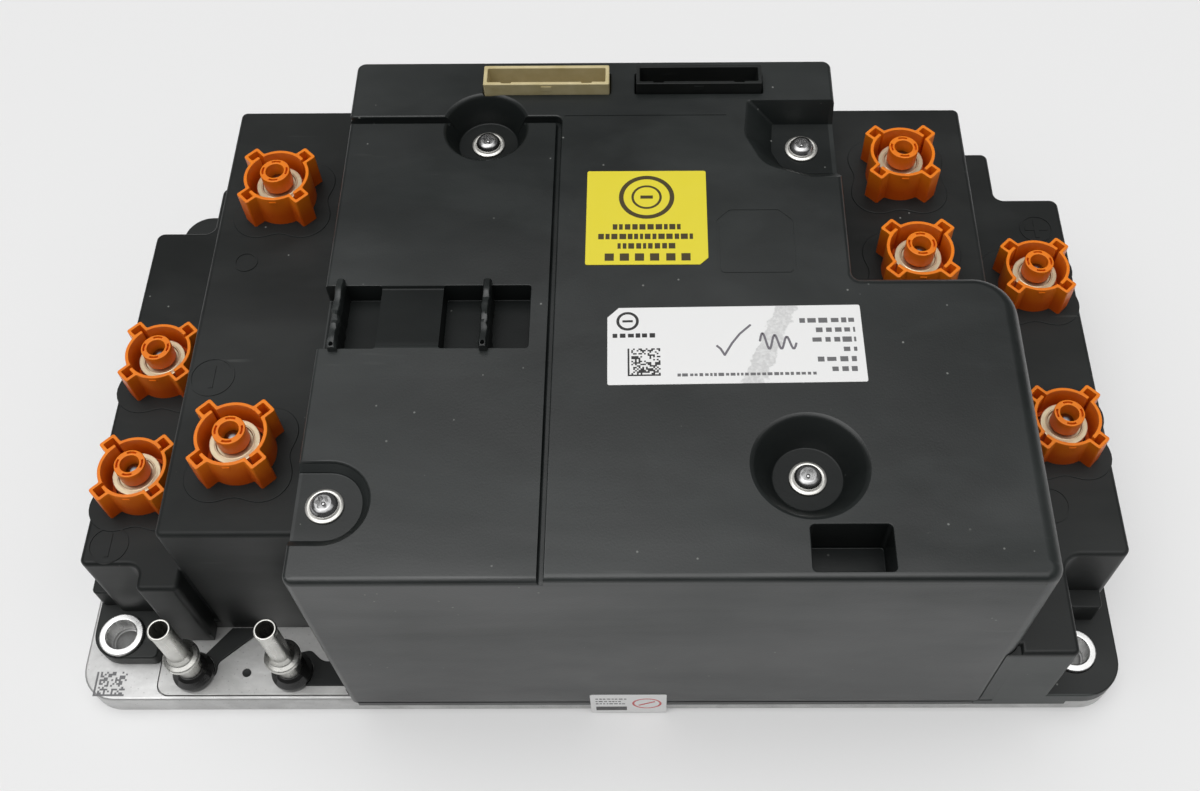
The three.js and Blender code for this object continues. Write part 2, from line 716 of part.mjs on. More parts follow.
function contactorBridge() {
  return join(
    round(0, 0, ARMATURE.low, ARMATURE.high, ARMATURE.radius),
    round(0, 0, ARMATURE.high - 1, BRIDGE_TOP - 1, 2.5),
    box(-23, 23, -6, 6, BRIDGE_TOP - 3, BRIDGE_TOP),
  );
}

class Helix extends THREE.Curve {
  getPoint(t) {
    const angle = 2 * Math.PI * SPRING.turns * t;
    const rise = SPRING.high - SPRING.low - 2 * SPRING.wire;
    return new THREE.Vector3(
      SPRING.radius * Math.cos(angle),
      SPRING.radius * Math.sin(angle),
      SPRING.low + SPRING.wire + rise * t,
    );
  }
}

function contactorSpring() {
  const section = new THREE.Shape().absarc(0, 0, SPRING.wire, 0, 2 * Math.PI);
  const options = { steps: 8 * SPRING.turns, curveSegments: 3, extrudePath: new Helix() };
  return solid(new THREE.ExtrudeGeometry(section, options));
}

function pyroFuseBody() {
  const { x, y, half, low, high, bore } = PYRO;
  const block = prism(rectangle(x - half[0], x + half[0], y - half[1], y + half[1], 3), low, high, 3);
  return cut(
    block,
    round(x, y, low + 4, high - 4, bore, bore, 20),
    box(x - 8.5, x + 8.5, y - half[1] - 1, y + half[1] + 1, 29, 32),
  );
}

function prechargeRelay() {
  return join(
    prism(rectangle(-64, -24, depth(16), depth(40), 2), 16, 44, 3),
    prism(rectangle(-60, -28, depth(41), depth(52), 2), 16, 34, 3),
    box(-60, -28, depth(39), depth(42), 16, 30),
  );
}

// The tray that locates the inner parts, with a post under each cover screw and board support.
function carrierFrame() {
  const { low, high, post } = CARRIER;
  const tray = cut(
    prism(rectangle(-86, 138, depth(12), depth(210), 4), low, high),
    prism(rectangle(-12, 12, depth(62), depth(108), 3), low - 1, high + 1),
    prism(rectangle(-76, 128, depth(122), depth(160), 3), low - 1, high + 1),
  );
  const posts = COVER_SCREWS.map(({ x, y, floor }) => {
    const top = floor - POCKET_SKIN - GAP;
    const bore = SCREW.shank + GAP;
    return cut(
      round(x, y, low, top, post, post, SMALL),
      round(x, y, floor - SCREW.length - 2, top + 1, bore, bore, SMALL),
    );
  });
  const supports = [
    [-20, depth(208)],
    [64, depth(166)],
    [64, depth(208)],
  ].map(([x, y]) => round(x, y, low, BOARD.low - GAP, 3, 3, SMALL));
  return join(tray, ...posts, box(-89, -80, depth(22), depth(32), low, high), ...supports);
}

function controlBoard() {
  const { low, high } = BOARD;
  const board = cut(
    prism(rectangle(-52, 71, depth(160), depth(214), 2), low, high, 3),
    round(COVER_SCREWS[0].x, COVER_SCREWS[0].y, low - 1, high + 1, CARRIER.post + 1),
  );
  const chips = [
    [-20, 176, 9, 9, 2.4],
    [12, 178, 11, 8, 6],
    [38, 182, 6, 10, 4],
    [-2, 192, 14, 4, 2],
  ].map(([x, y, dx, dy, tall]) => box(x - dx, x + dx, depth(y - dy), depth(y + dy), high - 0.5, high + tall));
  return join(board, ...chips);
}

// A shrouded pin header: an open-topped box with a solid foot on the board.
function headerSocket() {
  const { width, depth: deep, front, high, wall, floor } = HEADER;
  const half = width / 2;
  const shroud = box(-half, half, front, front + deep, BOARD.high + GAP, high);
  const cavity = box(-half + wall, half - wall, front + wall, front + deep - wall, floor, high + 1);
  const keys = [-0.32, 0.32].map((share) =>
    box(share * width - 2, share * width + 2, front + wall - 0.7, front + wall + 1, high - 6, high + 1),
  );
  return cut(shroud, cavity, ...keys);
}

add("busbar_positive_battery", positiveBatteryBar(), COPPER);
add("busbar_positive_load", positiveLoadBar(), COPPER);
add("busbar_negative_battery", negativeBatteryBar(), COPPER);
add("current_shunt", currentShunt(), COPPER);
add("busbar_negative_load", negativeLoadBar(), COPPER);
for (const [side, [x, y]] of Object.entries(CONTACTORS)) {
  add(`contactor_case_${side}`, contactorCase(), GREY_PLASTIC, x, y);
  add(`contactor_bridge_${side}`, contactorBridge(), COPPER, x, y);
  add(`contactor_spring_${side}`, contactorSpring(), STEEL, x, y);
}
add("pyro_fuse_body", pyroFuseBody(), GREY_PLASTIC);
add("pyro_fuse_piston", round(PYRO.x, PYRO.y, PISTON.low, PISTON.high, PISTON.radius), GREY_PLASTIC);
add("precharge_relay", prechargeRelay(), GREY_PLASTIC);
add("carrier_frame", carrierFrame(), BLACK_PLASTIC);
add("control_board", controlBoard(), GREEN_BOARD);
for (const [name, x] of Object.entries(HEADERS)) {
  const look = name.endsWith("cream") ? CREAM_PLASTIC : BLACK_PLASTIC;
  add(name, headerSocket(), look, x);
}
add("housing_seal", housingSeal(), RUBBER);

// ---------------------------------------------------------------- labels

// A thin sticker centred on the origin with one corner clipped, turned a little as stuck by hand.
function sticker(width, height, clip, clipLeft) {
  const [x, y] = [width / 2, height / 2];
  const corners = clipLeft
    ? [[-x, -y, 0.6], [x, -y, 0.6], [x, y, 0.6], [-x + clip, y], [-x, y - clip]]
    : [[-x, -y, 0.6], [x - clip, -y], [x, -y + clip], [x, y, 0.6], [-x, y, 0.6]];
  return prism(corners, 0, 0.25, 2);
}

const LABEL_Z = COVER_TOP + 0.05;
add("hazard_label", sticker(44, 43.5, 3, false), YELLOW_LABEL, 19.3, depth(141.7), LABEL_Z);
add("data_label", sticker(88, 31.8, 4, true), WHITE_LABEL, 49.6, depth(85.8), LABEL_Z);
unit.getObjectByName("data_label").rotation.z = 0.012;
add("seal_label", sticker(29, 20, 0.8, true), WHITE_LABEL, 11.6, FRONT - 0.05, 11.2);
unit.getObjectByName("seal_label").rotation.x = Math.PI / 2;

export default unit;
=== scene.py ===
"""Looks of a high-voltage battery junction box.

Satin black housing and cover, orange touch guards, and a cast cooling plate."""

import math
import random

import bmesh
import bpy
from mathutils import Matrix, Vector


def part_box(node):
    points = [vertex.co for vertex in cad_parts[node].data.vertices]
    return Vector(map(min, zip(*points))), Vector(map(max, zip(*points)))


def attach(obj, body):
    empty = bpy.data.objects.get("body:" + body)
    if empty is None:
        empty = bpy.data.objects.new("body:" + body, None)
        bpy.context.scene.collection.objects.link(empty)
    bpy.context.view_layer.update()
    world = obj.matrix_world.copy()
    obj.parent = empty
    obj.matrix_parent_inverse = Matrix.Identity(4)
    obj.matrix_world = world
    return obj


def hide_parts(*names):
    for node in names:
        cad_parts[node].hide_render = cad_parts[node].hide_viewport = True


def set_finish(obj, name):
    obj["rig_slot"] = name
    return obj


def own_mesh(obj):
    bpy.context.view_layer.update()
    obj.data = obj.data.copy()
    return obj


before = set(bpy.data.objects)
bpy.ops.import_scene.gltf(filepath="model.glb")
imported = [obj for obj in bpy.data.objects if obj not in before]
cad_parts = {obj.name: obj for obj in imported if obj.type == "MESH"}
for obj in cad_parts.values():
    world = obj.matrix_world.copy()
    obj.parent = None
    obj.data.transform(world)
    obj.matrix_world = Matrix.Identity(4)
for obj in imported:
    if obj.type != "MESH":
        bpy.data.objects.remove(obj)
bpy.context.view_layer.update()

MM = 0.001
UNIT = "unit"  # the body that every fixed piece rides on


# ---------------------------------------------------------------- camera

PITCH, YAW, ROLL = math.radians(58.497), math.radians(0.751), math.radians(-0.867)
CAMERA_PLACE = (0.02024, -0.28325, 0.508)
FILM_WIDTH, LENS, LENS_SHIFT = 36, 40.07, -0.034  # the shift is in film widths


def added(name, data):
    """A new object in the scene."""
    made = bpy.data.objects.new(name, data)
    bpy.context.scene.collection.objects.link(made)
    return made


def add_camera():
    across = Vector((math.cos(YAW), math.sin(YAW), 0))
    ahead = Vector((-math.sin(YAW), math.cos(YAW), 0))
    up_axis = Vector((0, 0, 1))
    forward = ahead * math.cos(PITCH) - up_axis * math.sin(PITCH)
    upright = ahead * math.sin(PITCH) + up_axis * math.cos(PITCH)
    right = across * math.cos(ROLL) + upright * math.sin(ROLL)
    up = upright * math.cos(ROLL) - across * math.sin(ROLL)
    camera = added("camera", bpy.data.cameras.new("camera"))
    camera.data.sensor_width = FILM_WIDTH
    camera.data.lens = LENS
    camera.data.shift_x = LENS_SHIFT
    turn = Matrix((right, up, -forward)).transposed()
    camera.matrix_world = Matrix.Translation(CAMERA_PLACE) @ turn.to_4x4()
    bpy.context.scene.camera = camera


add_camera()


# ---------------------------------------------------------------- sizes, in millimetres

def span(node):
    """A CAD node's lowest and highest corner in millimetres."""
    low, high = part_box(node)
    return low / MM, high / MM


def middle(node):
    low, high = span(node)
    return (low + high) / 2


PLATE_LOW, PLATE_HIGH = span("cooling_plate")
COVER_LOW, COVER_HIGH = span("main_cover")


def deep(distance):
    """The y of a place that far behind the cooling plate's front face."""
    return PLATE_LOW.y + distance


FRONT = COVER_LOW.y
COVER_LEFT, COVER_RIGHT, COVER_BACK = COVER_LOW.x, COVER_HIGH.x, COVER_HIGH.y
COVER_TOP = 127.0
PANEL_TOP = 125.3
SHOULDER_X, SHOULDER_Y = 92.0, deep(115)
GROOVE = (-15.2, -13.2)
PANEL_BACK = deep(191.5)
WALL = 3.0
FIN_Y = (deep(86.3), deep(112.4))
FIN_FLOOR = 116.5
FIN_POCKETS = ((COVER_LEFT - 4, -74.7, -89.0), (-52.5, -21.9, -37.0))  # left, right and the fin's middle
LIP_LOW = 9.4
FLANGE_RIGHT = 199
ABOVE = 200  # higher than any part
FLANGE_LOW, FLANGE_HIGH = span("mounting_bushing_1")[0].z, 18.5
ROOT = 14.0
SKIRT_TOP = 30.5
OUTER_TOP = 62.5
MIDDLE_TOP = 95.5
TERMINALS = [middle(f"terminal_guard_{i}") for i in range(1, 9)]
TERMINAL_FEET = [span(f"terminal_guard_{i}")[0].z - 0.3 for i in range(1, 9)]
SCREWS = [middle(f"cover_screw_{i}") for i in range(1, 5)]
SCREW_FLOORS = [115.5, 116.8, 121.9, 116.8]
BUSHINGS = [middle(f"mounting_bushing_{i}") for i in range(1, 5)]
ROUND_STEP = math.radians(9)
EDGE_STEPS = 5
SHARP_ANGLE = math.radians(34)
SAME_SPOT, SLIVER, COARSE_SLIVER = 1e-5, 0.004, 0.02  # corners this close are merged


# ---------------------------------------------------------------- meshes, made in millimetres

def merged(mesh, reach, finish):
    """Merges the corners of a mesh that lie within reach of each other, then runs one more step on it."""
    work = bmesh.new()
    work.from_mesh(mesh)
    bmesh.ops.remove_doubles(work, verts=work.verts, dist=reach)
    finish(work)
    work.to_mesh(mesh)
    work.free()


def mesh_object(name, vertices, faces):
    mesh = bpy.data.meshes.new(name)
    mesh.from_pydata(vertices, [], faces)
    made = added(name, mesh)
    merged(mesh, SAME_SPOT, lambda work: bmesh.ops.recalc_face_normals(work, faces=work.faces))
    return made


def loft(name, rings):
    """A closed body through rings of equal point counts, capped at both ends."""
    count = len(rings[0])
    vertices = [point for ring in rings for point in ring]
    faces = [list(range(count))[::-1], [len(vertices) - count + i for i in range(count)]]
    for level in range(len(rings) - 1):
        for i in range(count):
            a, b = level * count + i, level * count + (i + 1) % count
            faces.append([a, b, b + count, a + count])
    return mesh_object(name, vertices, faces)


def outline(corners, edge=1.0, fixed_steps=None):
    """Points round an anticlockwise outline, as (x, y, shift x, shift y, edge).

    A corner is (x, y), (x, y, radius) or (x, y, radius, edge). The edge is the rounding of the side that
    leaves the corner, and the shift is how far the point moves inwards for a full step of that edge."""
    sides = [corner[3] if len(corner) > 3 else edge for corner in corners]
    points = []
    count = len(corners)
    for i, corner in enumerate(corners):
        here = Vector(corner[:2])
        radius = corner[2] if len(corner) > 2 else 0
        arrive = (here - Vector(corners[i - 1][:2])).normalized()
        leave = (Vector(corners[(i + 1) % count][:2]) - here).normalized()
        inward_a, inward_b = Vector((-arrive.y, arrive.x)), Vector((-leave.y, leave.x))
        edge_a, edge_b = sides[i - 1], sides[i]
        turn = math.atan2(arrive.cross(leave), arrive.dot(leave))
        if not radius:
            dot = inward_a.dot(inward_b)
            a = (edge_a - dot * edge_b) / (1 - dot * dot)
            b = (edge_b - dot * edge_a) / (1 - dot * dot)
            shift = inward_a * a + inward_b * b
            points.append((here.x, here.y, shift.x, shift.y, (edge_a + edge_b) / 2))
            continue
        reach = radius * math.tan(abs(turn) / 2)
        sign = math.copysign(1, turn)
        centre = here - arrive * reach + inward_a * (sign * radius)
        steps = fixed_steps or max(2, math.ceil(abs(turn) / ROUND_STEP))
        for k in range(steps + 1):
            share = k / steps
            normal = Matrix.Rotation(turn * share, 2) @ inward_a
            local = edge_a + (edge_b - edge_a) * share
            at = centre - normal * (sign * radius)
            points.append((at.x, at.y, normal.x * local, normal.y * local, local))
    return points


def ring(points, inset, z):
    return [(x + dx * inset, y + dy * inset, z) for x, y, dx, dy, _ in points]


def block(name, corners, low, high, edge=1.2, foot=0.0):
    """A straight-sided block whose top edges are rounded, and its lower ones by foot."""
    points = outline(corners, edge)
    rings = []
    for k in range(EDGE_STEPS + 1 if foot else 1):
        angle = k / EDGE_STEPS * math.pi / 2
        inset = (1 - math.sin(angle)) * foot / edge if foot else 0
        rings.append(ring(points, inset, low + foot * (1 - math.cos(angle))))
    for k in range(EDGE_STEPS + 1):
        angle = k / EDGE_STEPS * math.pi / 2
        inset, drop = 1 - math.cos(angle), 1 - math.sin(angle)
        rings.append([(x + dx * inset, y + dy * inset, high - e * drop) for x, y, dx, dy, e in points])
    return loft(name, rings)


def prism(name, corners, low, high):
    points = outline(corners)
    return loft(name, [ring(points, 0, low), ring(points, 0, high)])


def room(name, corners, floor, top, flare=0.4, rim=0.6, root=0.5, spread=4.0):
    """A cutter for a pocket: rounded where the wall meets the floor and where it meets the top."""
    points = outline(corners)
    levels = []
    for k in range(EDGE_STEPS + 1):
        angle = k / EDGE_STEPS * math.pi / 2
        levels.append((-root * (1 - math.sin(angle)), floor + root * (1 - math.cos(angle))))
    for k in range(EDGE_STEPS + 1):
        angle = k / EDGE_STEPS * math.radians(82)
        levels.append((flare + rim * (1 - math.cos(angle)), top - rim * (0.98 - math.sin(angle))))
    levels.append((levels[-1][0] + spread, top + 0.6))
    return loft(name, [ring(points, -out, z) for out, z in levels])


def rectangle(x0, x1, y0, y1, radius=0.0):
    return [(x0, y0, radius), (x1, y0, radius), (x1, y1, radius), (x0, y1, radius)]


def cuboid(name, x0, x1, y0, y1, z0, z1):
    return prism(name, rectangle(x0, x1, y0, y1), z0, z1)


def softened(profile):
    """An open profile of (radius, height, rounding) corners, with each corner turned into an arc."""
    points = []
    for i, corner in enumerate(profile):
        here = Vector(corner[:2])
        rounding = corner[2] if len(corner) > 2 else 0
        if not rounding or i in (0, len(profile) - 1):
            points.append(tuple(here))
            continue
        arrive = (here - Vector(profile[i - 1][:2])).normalized()
        leave = (Vector(profile[i + 1][:2]) - here).normalized()
        turn = math.atan2(arrive.cross(leave), arrive.dot(leave))
        inward = Vector((-arrive.y, arrive.x)) * math.copysign(1, turn)
        reach = rounding * math.tan(abs(turn) / 2)
        centre = here - arrive * reach + inward * rounding
        steps = max(2, math.ceil(abs(turn) / math.radians(15)))
        for k in range(steps + 1):
            normal = Matrix.Rotation(turn * k / steps, 2) @ inward
            points.append(tuple(centre - normal * rounding))
    return points


def turned(name, profile, sides=56, closed=False):
    """A body turned about the vertical axis from (radius, height, rounding) corners.

    The profile starts and ends on the axis, or is closed: then its first corner is repeated at its end."""
    points = softened(profile)
    if closed:
        points = points[:-1]
    vertices, faces, rows = [], [], []
    for radius, height in points:
        if radius < 1e-6:
            rows.append([len(vertices)] * sides)
            vertices.append((0, 0, height))
            continue
        rows.append(list(range(len(vertices), len(vertices) + sides)))
        for k in range(sides):
            angle = 2 * math.pi * k / sides
            vertices.append((radius * math.cos(angle), radius * math.sin(angle), height))
    pairs = list(zip(rows, rows[1:] + rows[:1])) if closed else list(zip(rows, rows[1:]))
    for low, high in pairs:
        for k in range(sides):
            n = (k + 1) % sides
            corners = [low[k], low[n], high[n], high[k]]
            faces.append(list(dict.fromkeys(corners)))
    return mesh_object(name, vertices, [face for face in faces if len(face) > 2])


def moved(made, x=0.0, y=0.0, z=0.0, turn=0.0):
    made.data.transform(Matrix.Translation((x, y, z)) @ Matrix.Rotation(math.radians(turn), 4, "Z"))
    return made


def applied(made):
    """Replaces the object's mesh by what its modifiers make of it."""
    bpy.context.view_layer.update()
    mesh = bpy.data.meshes.new_from_object(made.evaluated_get(bpy.context.evaluated_depsgraph_get()))
    made.modifiers.clear()
    made.data = mesh
    return made


def combine(body, others, operation="DIFFERENCE"):
    for other in others:
        modifier = body.modifiers.new("combine", "BOOLEAN")
        modifier.operation = operation
        modifier.solver = "EXACT"
        modifier.object = other
        applied(body)
        bpy.data.objects.remove(other)
    return body


def cleaned(made, reach=SLIVER):
    """Merges the near-coincident corners that cutting leaves, so that no sliver spoils the shading."""
    merged(made.data, reach, lambda work: bmesh.ops.dissolve_degenerate(work, dist=reach, edges=work.edges))
    return made


def dress(made, look, slot, replaces=()):
    """Brings a body from millimetres to metres, shades it, paints it and puts it on its CAD body."""
    mesh = cleaned(made).data
    mesh.transform(Matrix.Scale(MM, 4))
    mesh.polygons.foreach_set("use_smooth", [True] * len(mesh.polygons))
    mesh.set_sharp_from_angle(angle=SHARP_ANGLE)
    weighted = made.modifiers.new("weighted_normals", "WEIGHTED_NORMAL")
    weighted.keep_sharp = True
    mesh.materials.clear()
    mesh.materials.append(look)
    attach(made, UNIT)
    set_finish(made, slot)
    if replaces:
        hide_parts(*replaces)
    return made


# ---------------------------------------------------------------- materials

def shade(color, factor, lift=0.0):
    return tuple(min(1, channel * factor + lift) for channel in color) + (1,)


class Look:
    """A material with a principled shader, built up by small steps."""

    def __init__(self, name, color, roughness, metallic=0.0, specular=0.5):
        self.material = bpy.data.materials.new(name)
        self.material.use_nodes = True
        self.tree = self.material.node_tree
        self.shader = self.tree.nodes["Principled BSDF"]
        self.place = self.node("ShaderNodeTexCoord").outputs["Object"]
        self.set("Base Color", (*color, 1))
        self.set("Roughness", roughness)
        self.set("Metallic", metallic)
        self.set("Specular IOR Level", specular)
        self.color = (*color, 1)

    def node(self, kind, inputs=None, **settings):
        made = self.tree.nodes.new(kind)
        for key, value in settings.items():
            setattr(made, key, value)
        for key, value in (inputs or {}).items():
            self.feed(made.inputs[key], value)
        return made

    def feed(self, socket, value):
        if isinstance(value, bpy.types.NodeSocket):
            self.tree.links.new(value, socket)
        else:
            socket.default_value = value

    def set(self, name, value):
        self.feed(self.shader.inputs[name], value)

    def stretched(self, scale):
        return self.node("ShaderNodeMapping", {"Vector": self.place, "Scale": scale}).outputs["Vector"]

    def noise(self, scale, detail=3, rough=0.5, place=None, distortion=0.0):
        """Noise from 0 to 1; scale is the number of features in a metre."""
        inputs = {
            "Vector": place or self.place, "Scale": scale, "Detail": detail, "Roughness": rough,
            "Distortion": distortion,
        }
        return self.node("ShaderNodeTexNoise", inputs).outputs["Fac"]

    def spots(self, scale, size):
        """1 in small round spots, scattered about that many to a metre, and 0 elsewhere."""
        near = self.node("ShaderNodeTexVoronoi", {"Vector": self.place, "Scale": scale}).outputs["Distance"]
        return self.between(near, size * 0.6, size, 1, 0)

    def between(self, value, low, high, out_low=0.0, out_high=1.0):
        inputs = {"Value": value, "From Min": low, "From Max": high, "To Min": out_low, "To Max": out_high}
        return self.node("ShaderNodeMapRange", inputs).outputs["Result"]

    def along(self, axis):
        """How far a place is along X, Y or Z, in metres."""
        return self.node("ShaderNodeSeparateXYZ", {0: self.place}).outputs[axis]

    def worked(self, operation, *values):
        return self.node("ShaderNodeMath", dict(enumerate(values)), operation=operation).outputs[0]

    def times(self, a, b):
        return self.worked("MULTIPLY", a, b)

    def plus(self, a, b):
        return self.worked("ADD", a, b)

    def mixed(self, share, a, b):
        return self.node("ShaderNodeMix", {0: share, 6: a, 7: b}, data_type="RGBA").outputs[2]

    def bump(self, height, depth, strength=1.0, under=None):
        inputs = {"Height": height, "Distance": depth, "Strength": strength}
        if under:
            inputs["Normal"] = under
        return self.node("ShaderNodeBump", inputs).outputs["Normal"]

    def finished(self, tone, sheen, grain):
        """The material with its colour, a wandering roughness and a fine bump.

        sheen is (noise scale, detail, lowest, highest), and grain is (noise scale, depth, strength)."""
        scale, detail, low, high = sheen
        self.set("Base Color", tone)
        self.set("Roughness", self.between(self.noise(scale, detail), 0.3, 0.7, low, high))
        scale, depth, strength = grain
        self.set("Normal", self.bump(self.noise(scale, 2), depth, strength))
        return self.material


def in_box(look, x, y, z, soft=0.3):
    """1 in the box between the two values of x, y and z, in millimetres, and 0 outside it."""
    share = 1.0
    for axis, (low, high) in zip("XYZ", (x, y, z)):
        value = look.along(axis)
        share = look.times(share, look.between(value, (low - soft) * MM, low * MM))
        share = look.times(share, look.between(value, high * MM, (high + soft) * MM, 1, 0))
    return share


def recess_shade(look):
    """How deep in the cover's pockets a place is: a mask for painted shade on their floors, with some grime
    and duller moulding.
    """
    fall = look.between(look.along("Z"), FIN_FLOOR * MM, (COVER_TOP - 1.2) * MM, 0.8, 0)
    low, high = FIN_FLOOR - 8, COVER_TOP
    left, front, edge = COVER_LEFT + 1.2, FRONT + 1.6, 1.8
    tall = in_box(look, (left, SHOULDER_X - edge), (front, COVER_BACK - edge), (low, high))
    wide = in_box(look, (left, COVER_RIGHT - edge), (front, SHOULDER_Y - edge), (low, high))
    pockets = look.times(fall, look.worked("MAXIMUM", tall, wide))
    band = in_box(look, (COVER_LEFT + 0.6, FIN_POCKETS[1][1]), FIN_Y, (low, PANEL_TOP - 0.35), 0.25)
    return look.worked("MAXIMUM", pockets, band)


SCUFF_GREY, DUST_GREY, PORE_GREY = (0.1, 0.105, 0.1, 1), (0.36, 0.37, 0.35, 1), (0.1, 0.1, 0.1, 1)


def black_plastic(name, color, rough=0.33, specular=0.5, shaded_pockets=False):
    """Satin glass-filled nylon: a fine spark texture, cloudy sheen, faint scuffs and a few dust specks.

    With shaded_pockets, its pockets get a duller gloss and painted shade with some grime;
    without, the housing's right front corner is painted lighter, a painted highlight."""
    look = Look(name, color, rough, specular=specular)
    smear = look.noise(10, 4, 0.6, look.stretched((0.4, 1, 1.5)), 0.5)
    gloss = look.between(smear, 0.34, 0.68, specular * 0.6, specular * 1.36)
    cloud = look.noise(11, 5, 0.55)
    grime = look.between(look.noise(30, 5, 0.6, look.stretched((0.5, 1, 1)), 0.4), 0.45, 0.8)
    scuff = look.between(look.noise(260, 2, 0.5, look.stretched((0.1, 1, 1))), 0.68, 0.74)
    patch = look.between(look.noise(24, 2), 0.54, 0.68)
    worn = look.times(look.times(scuff, patch), 0.3)
    dust = look.times(look.spots(150, 0.07), look.between(look.noise(45, 1), 0.54, 0.6))
    tone = look.mixed(look.between(cloud, 0.3, 0.72), shade(color, 0.8), shade(color, 1.5))
    tone = look.mixed(look.times(grime, 0.7), tone, shade(color, 2.2, 0.003))
    tone = look.mixed(worn, tone, SCUFF_GREY)
    if shaded_pockets:
        # painted shade, with some grime, darkens the pocket floors; their gloss is lowered too
        depth = recess_shade(look)
        gloss = look.times(gloss, look.between(depth, 0, 1, 1, 0.36))
        tone = look.mixed(look.times(depth, 0.6), tone, shade(color, 0.3))
    else:
        # painted light: the housing's front face at its right front corner is painted lighter, a painted
        # highlight
        across, back = (COVER_RIGHT - 8, FLANGE_RIGHT + 1), (FRONT - 1, FRONT + 0.6)
        corner = in_box(look, across, back, (LIP_LOW - 1, OUTER_TOP - 3), 0.2)
        tone = look.mixed(corner, tone, shade(color, 4.4))
    look.set("Specular IOR Level", gloss)
    look.set("Base Color", look.mixed(look.times(dust, 0.5), tone, DUST_GREY))
    sheen = look.plus(look.between(cloud, 0.3, 0.7, rough - 0.06, rough + 0.08), look.times(grime, 0.1))
    look.set("Roughness", look.plus(sheen, look.times(dust, 0.3)))
    grain = look.bump(look.noise(1300, 2, 0.6), 0.00006, 0.5)
    look.set("Normal", look.bump(look.noise(90, 3), 0.0002, 0.15, grain))
    return look.material


def orange_plastic(name):
    """High-voltage orange moulding, with painted shade that deepens its colour towards its foot, and a
    faintly cloudy sheen.
    """
    bright, cloud_and_shade_tone = (0.9, 0.235, 0.006, 1), (0.66, 0.098, 0.0015, 1)
    look = Look(name, bright[:3], 0.38, specular=0.35)
    # painted shade: the moulding is painted darker and redder towards its foot
    tone = look.mixed(look.between(look.along("Z"), 0.005, 0.0148), cloud_and_shade_tone, bright)
    cloud = look.between(look.noise(130, 3), 0.35, 0.7, 0, 0.4)
    return look.finished(look.mixed(cloud, tone, cloud_and_shade_tone), (300, 3, 0.32, 0.48), (1800, 0.00003, 0.4))


def cream_plastic(name):
    look = Look(name, (0.56, 0.47, 0.24), 0.42)
    tone = look.mixed(look.between(look.noise(160, 3), 0.3, 0.7), look.color, (0.66, 0.57, 0.33, 1))
    return look.finished(tone, (500, 2, 0.36, 0.5), (1500, 0.00003, 0.4))


def cast_aluminium(name, color=(0.57, 0.57, 0.565), rough=0.42):
    """Skimmed casting: blotches, pores and faint tool marks."""
    look = Look(name, color, rough, 0.85)
    blotch = look.between(look.noise(42, 5, 0.62, distortion=0.5), 0.36, 0.66)
    fine = look.noise(420, 4, 0.65)
    dark = shade(color, 0.62)
    tone = look.mixed(look.times(blotch, 0.55), look.color, dark)
    tone = look.mixed(look.between(fine, 0.5, 0.75, 0, 0.35), tone, shade(color, 1.2))
    pores = look.spots(520, 0.16)
    look.set("Base Color", look.mixed(look.times(pores, 0.35), tone, PORE_GREY))
    sheen = look.between(blotch, 0, 1, rough - 0.06, rough + 0.12)
    look.set("Roughness", look.plus(sheen, look.times(fine, 0.1)))
    tooling = look.bump(look.noise(900, 3, 0.6, look.stretched((0.2, 1, 1))), 0.00005, 0.5)
    look.set("Normal", look.bump(look.noise(260, 4), 0.00012, 0.5, tooling))
    return look.material


def steel(name, color, rough, stretch=(1, 1, 0.08)):
    """Plated or drawn steel with fine lines along or around it."""
    look = Look(name, color, rough, 1.0)
    lines = look.noise(1600, 3, 0.6, look.stretched(stretch))
    cloud = look.noise(160, 3)
    tone = look.mixed(look.between(cloud, 0.35, 0.7, 0, 0.5), look.color, shade(color, 0.72))
    look.set("Base Color", tone)
    look.set("Roughness", look.between(lines, 0.3, 0.7, rough - 0.07, rough + 0.1))
    look.set("Normal", look.bump(lines, 0.00002, 0.5))
    return look.material


def film(name, color, rough=0.34):
    """Printed label film with a faint orange-peel surface."""
    look = Look(name, color, rough)
    smear = look.between(look.noise(38, 3, 0.5, look.stretched((1, 0.4, 1))), 0.55, 0.8, 0, 0.10)
    tone = look.mixed(smear, look.color, shade(color, 0.75))
    return look.finished(tone, (200, 2, rough - 0.06, rough + 0.08), (700, 0.00002, 0.5))


def rubbed_film(name, color, x, y, lean, half):
    """Label film with a grey band rubbed across it; lean is how far the band moves in x for a step in y."""
    look = Look(name, color, 0.34)
    centre = look.plus(x * MM, look.times(look.plus(look.along("Y"), -y * MM), lean))
    aside = look.worked("ABSOLUTE", look.worked("SUBTRACT", look.along("X"), centre))
    ragged = look.plus(aside, look.between(look.noise(260, 4, 0.6), 0.3, 0.7, -0.0012, 0.0012))
    solid = look.between(ragged, half * MM * 0.9, half * MM * 1.05, 1, 0)
    band = look.times(solid, look.between(look.noise(900, 2), 0.3, 0.6, 0.4, 1))
    look.set("Base Color", look.mixed(look.times(band, 0.9), look.color, shade(color, 0.7)))
    sheen = look.between(look.noise(200, 2), 0.3, 0.7, 0.28, 0.42)
    look.set("Roughness", look.plus(sheen, look.times(band, 0.15)))
    look.set("Normal", look.bump(look.noise(700, 2), 0.00002, 0.5))
    return look.material


def plain_moulding(name, color, rough):
    look = Look(name, color, rough)
    tone = look.mixed(look.between(look.noise(120, 4), 0.3, 0.7, 0, 0.6), look.color, shade(color, 1.5))
    return look.finished(tone, (350, 3, rough - 0.06, rough + 0.08), (1400, 0.00004, 0.5))


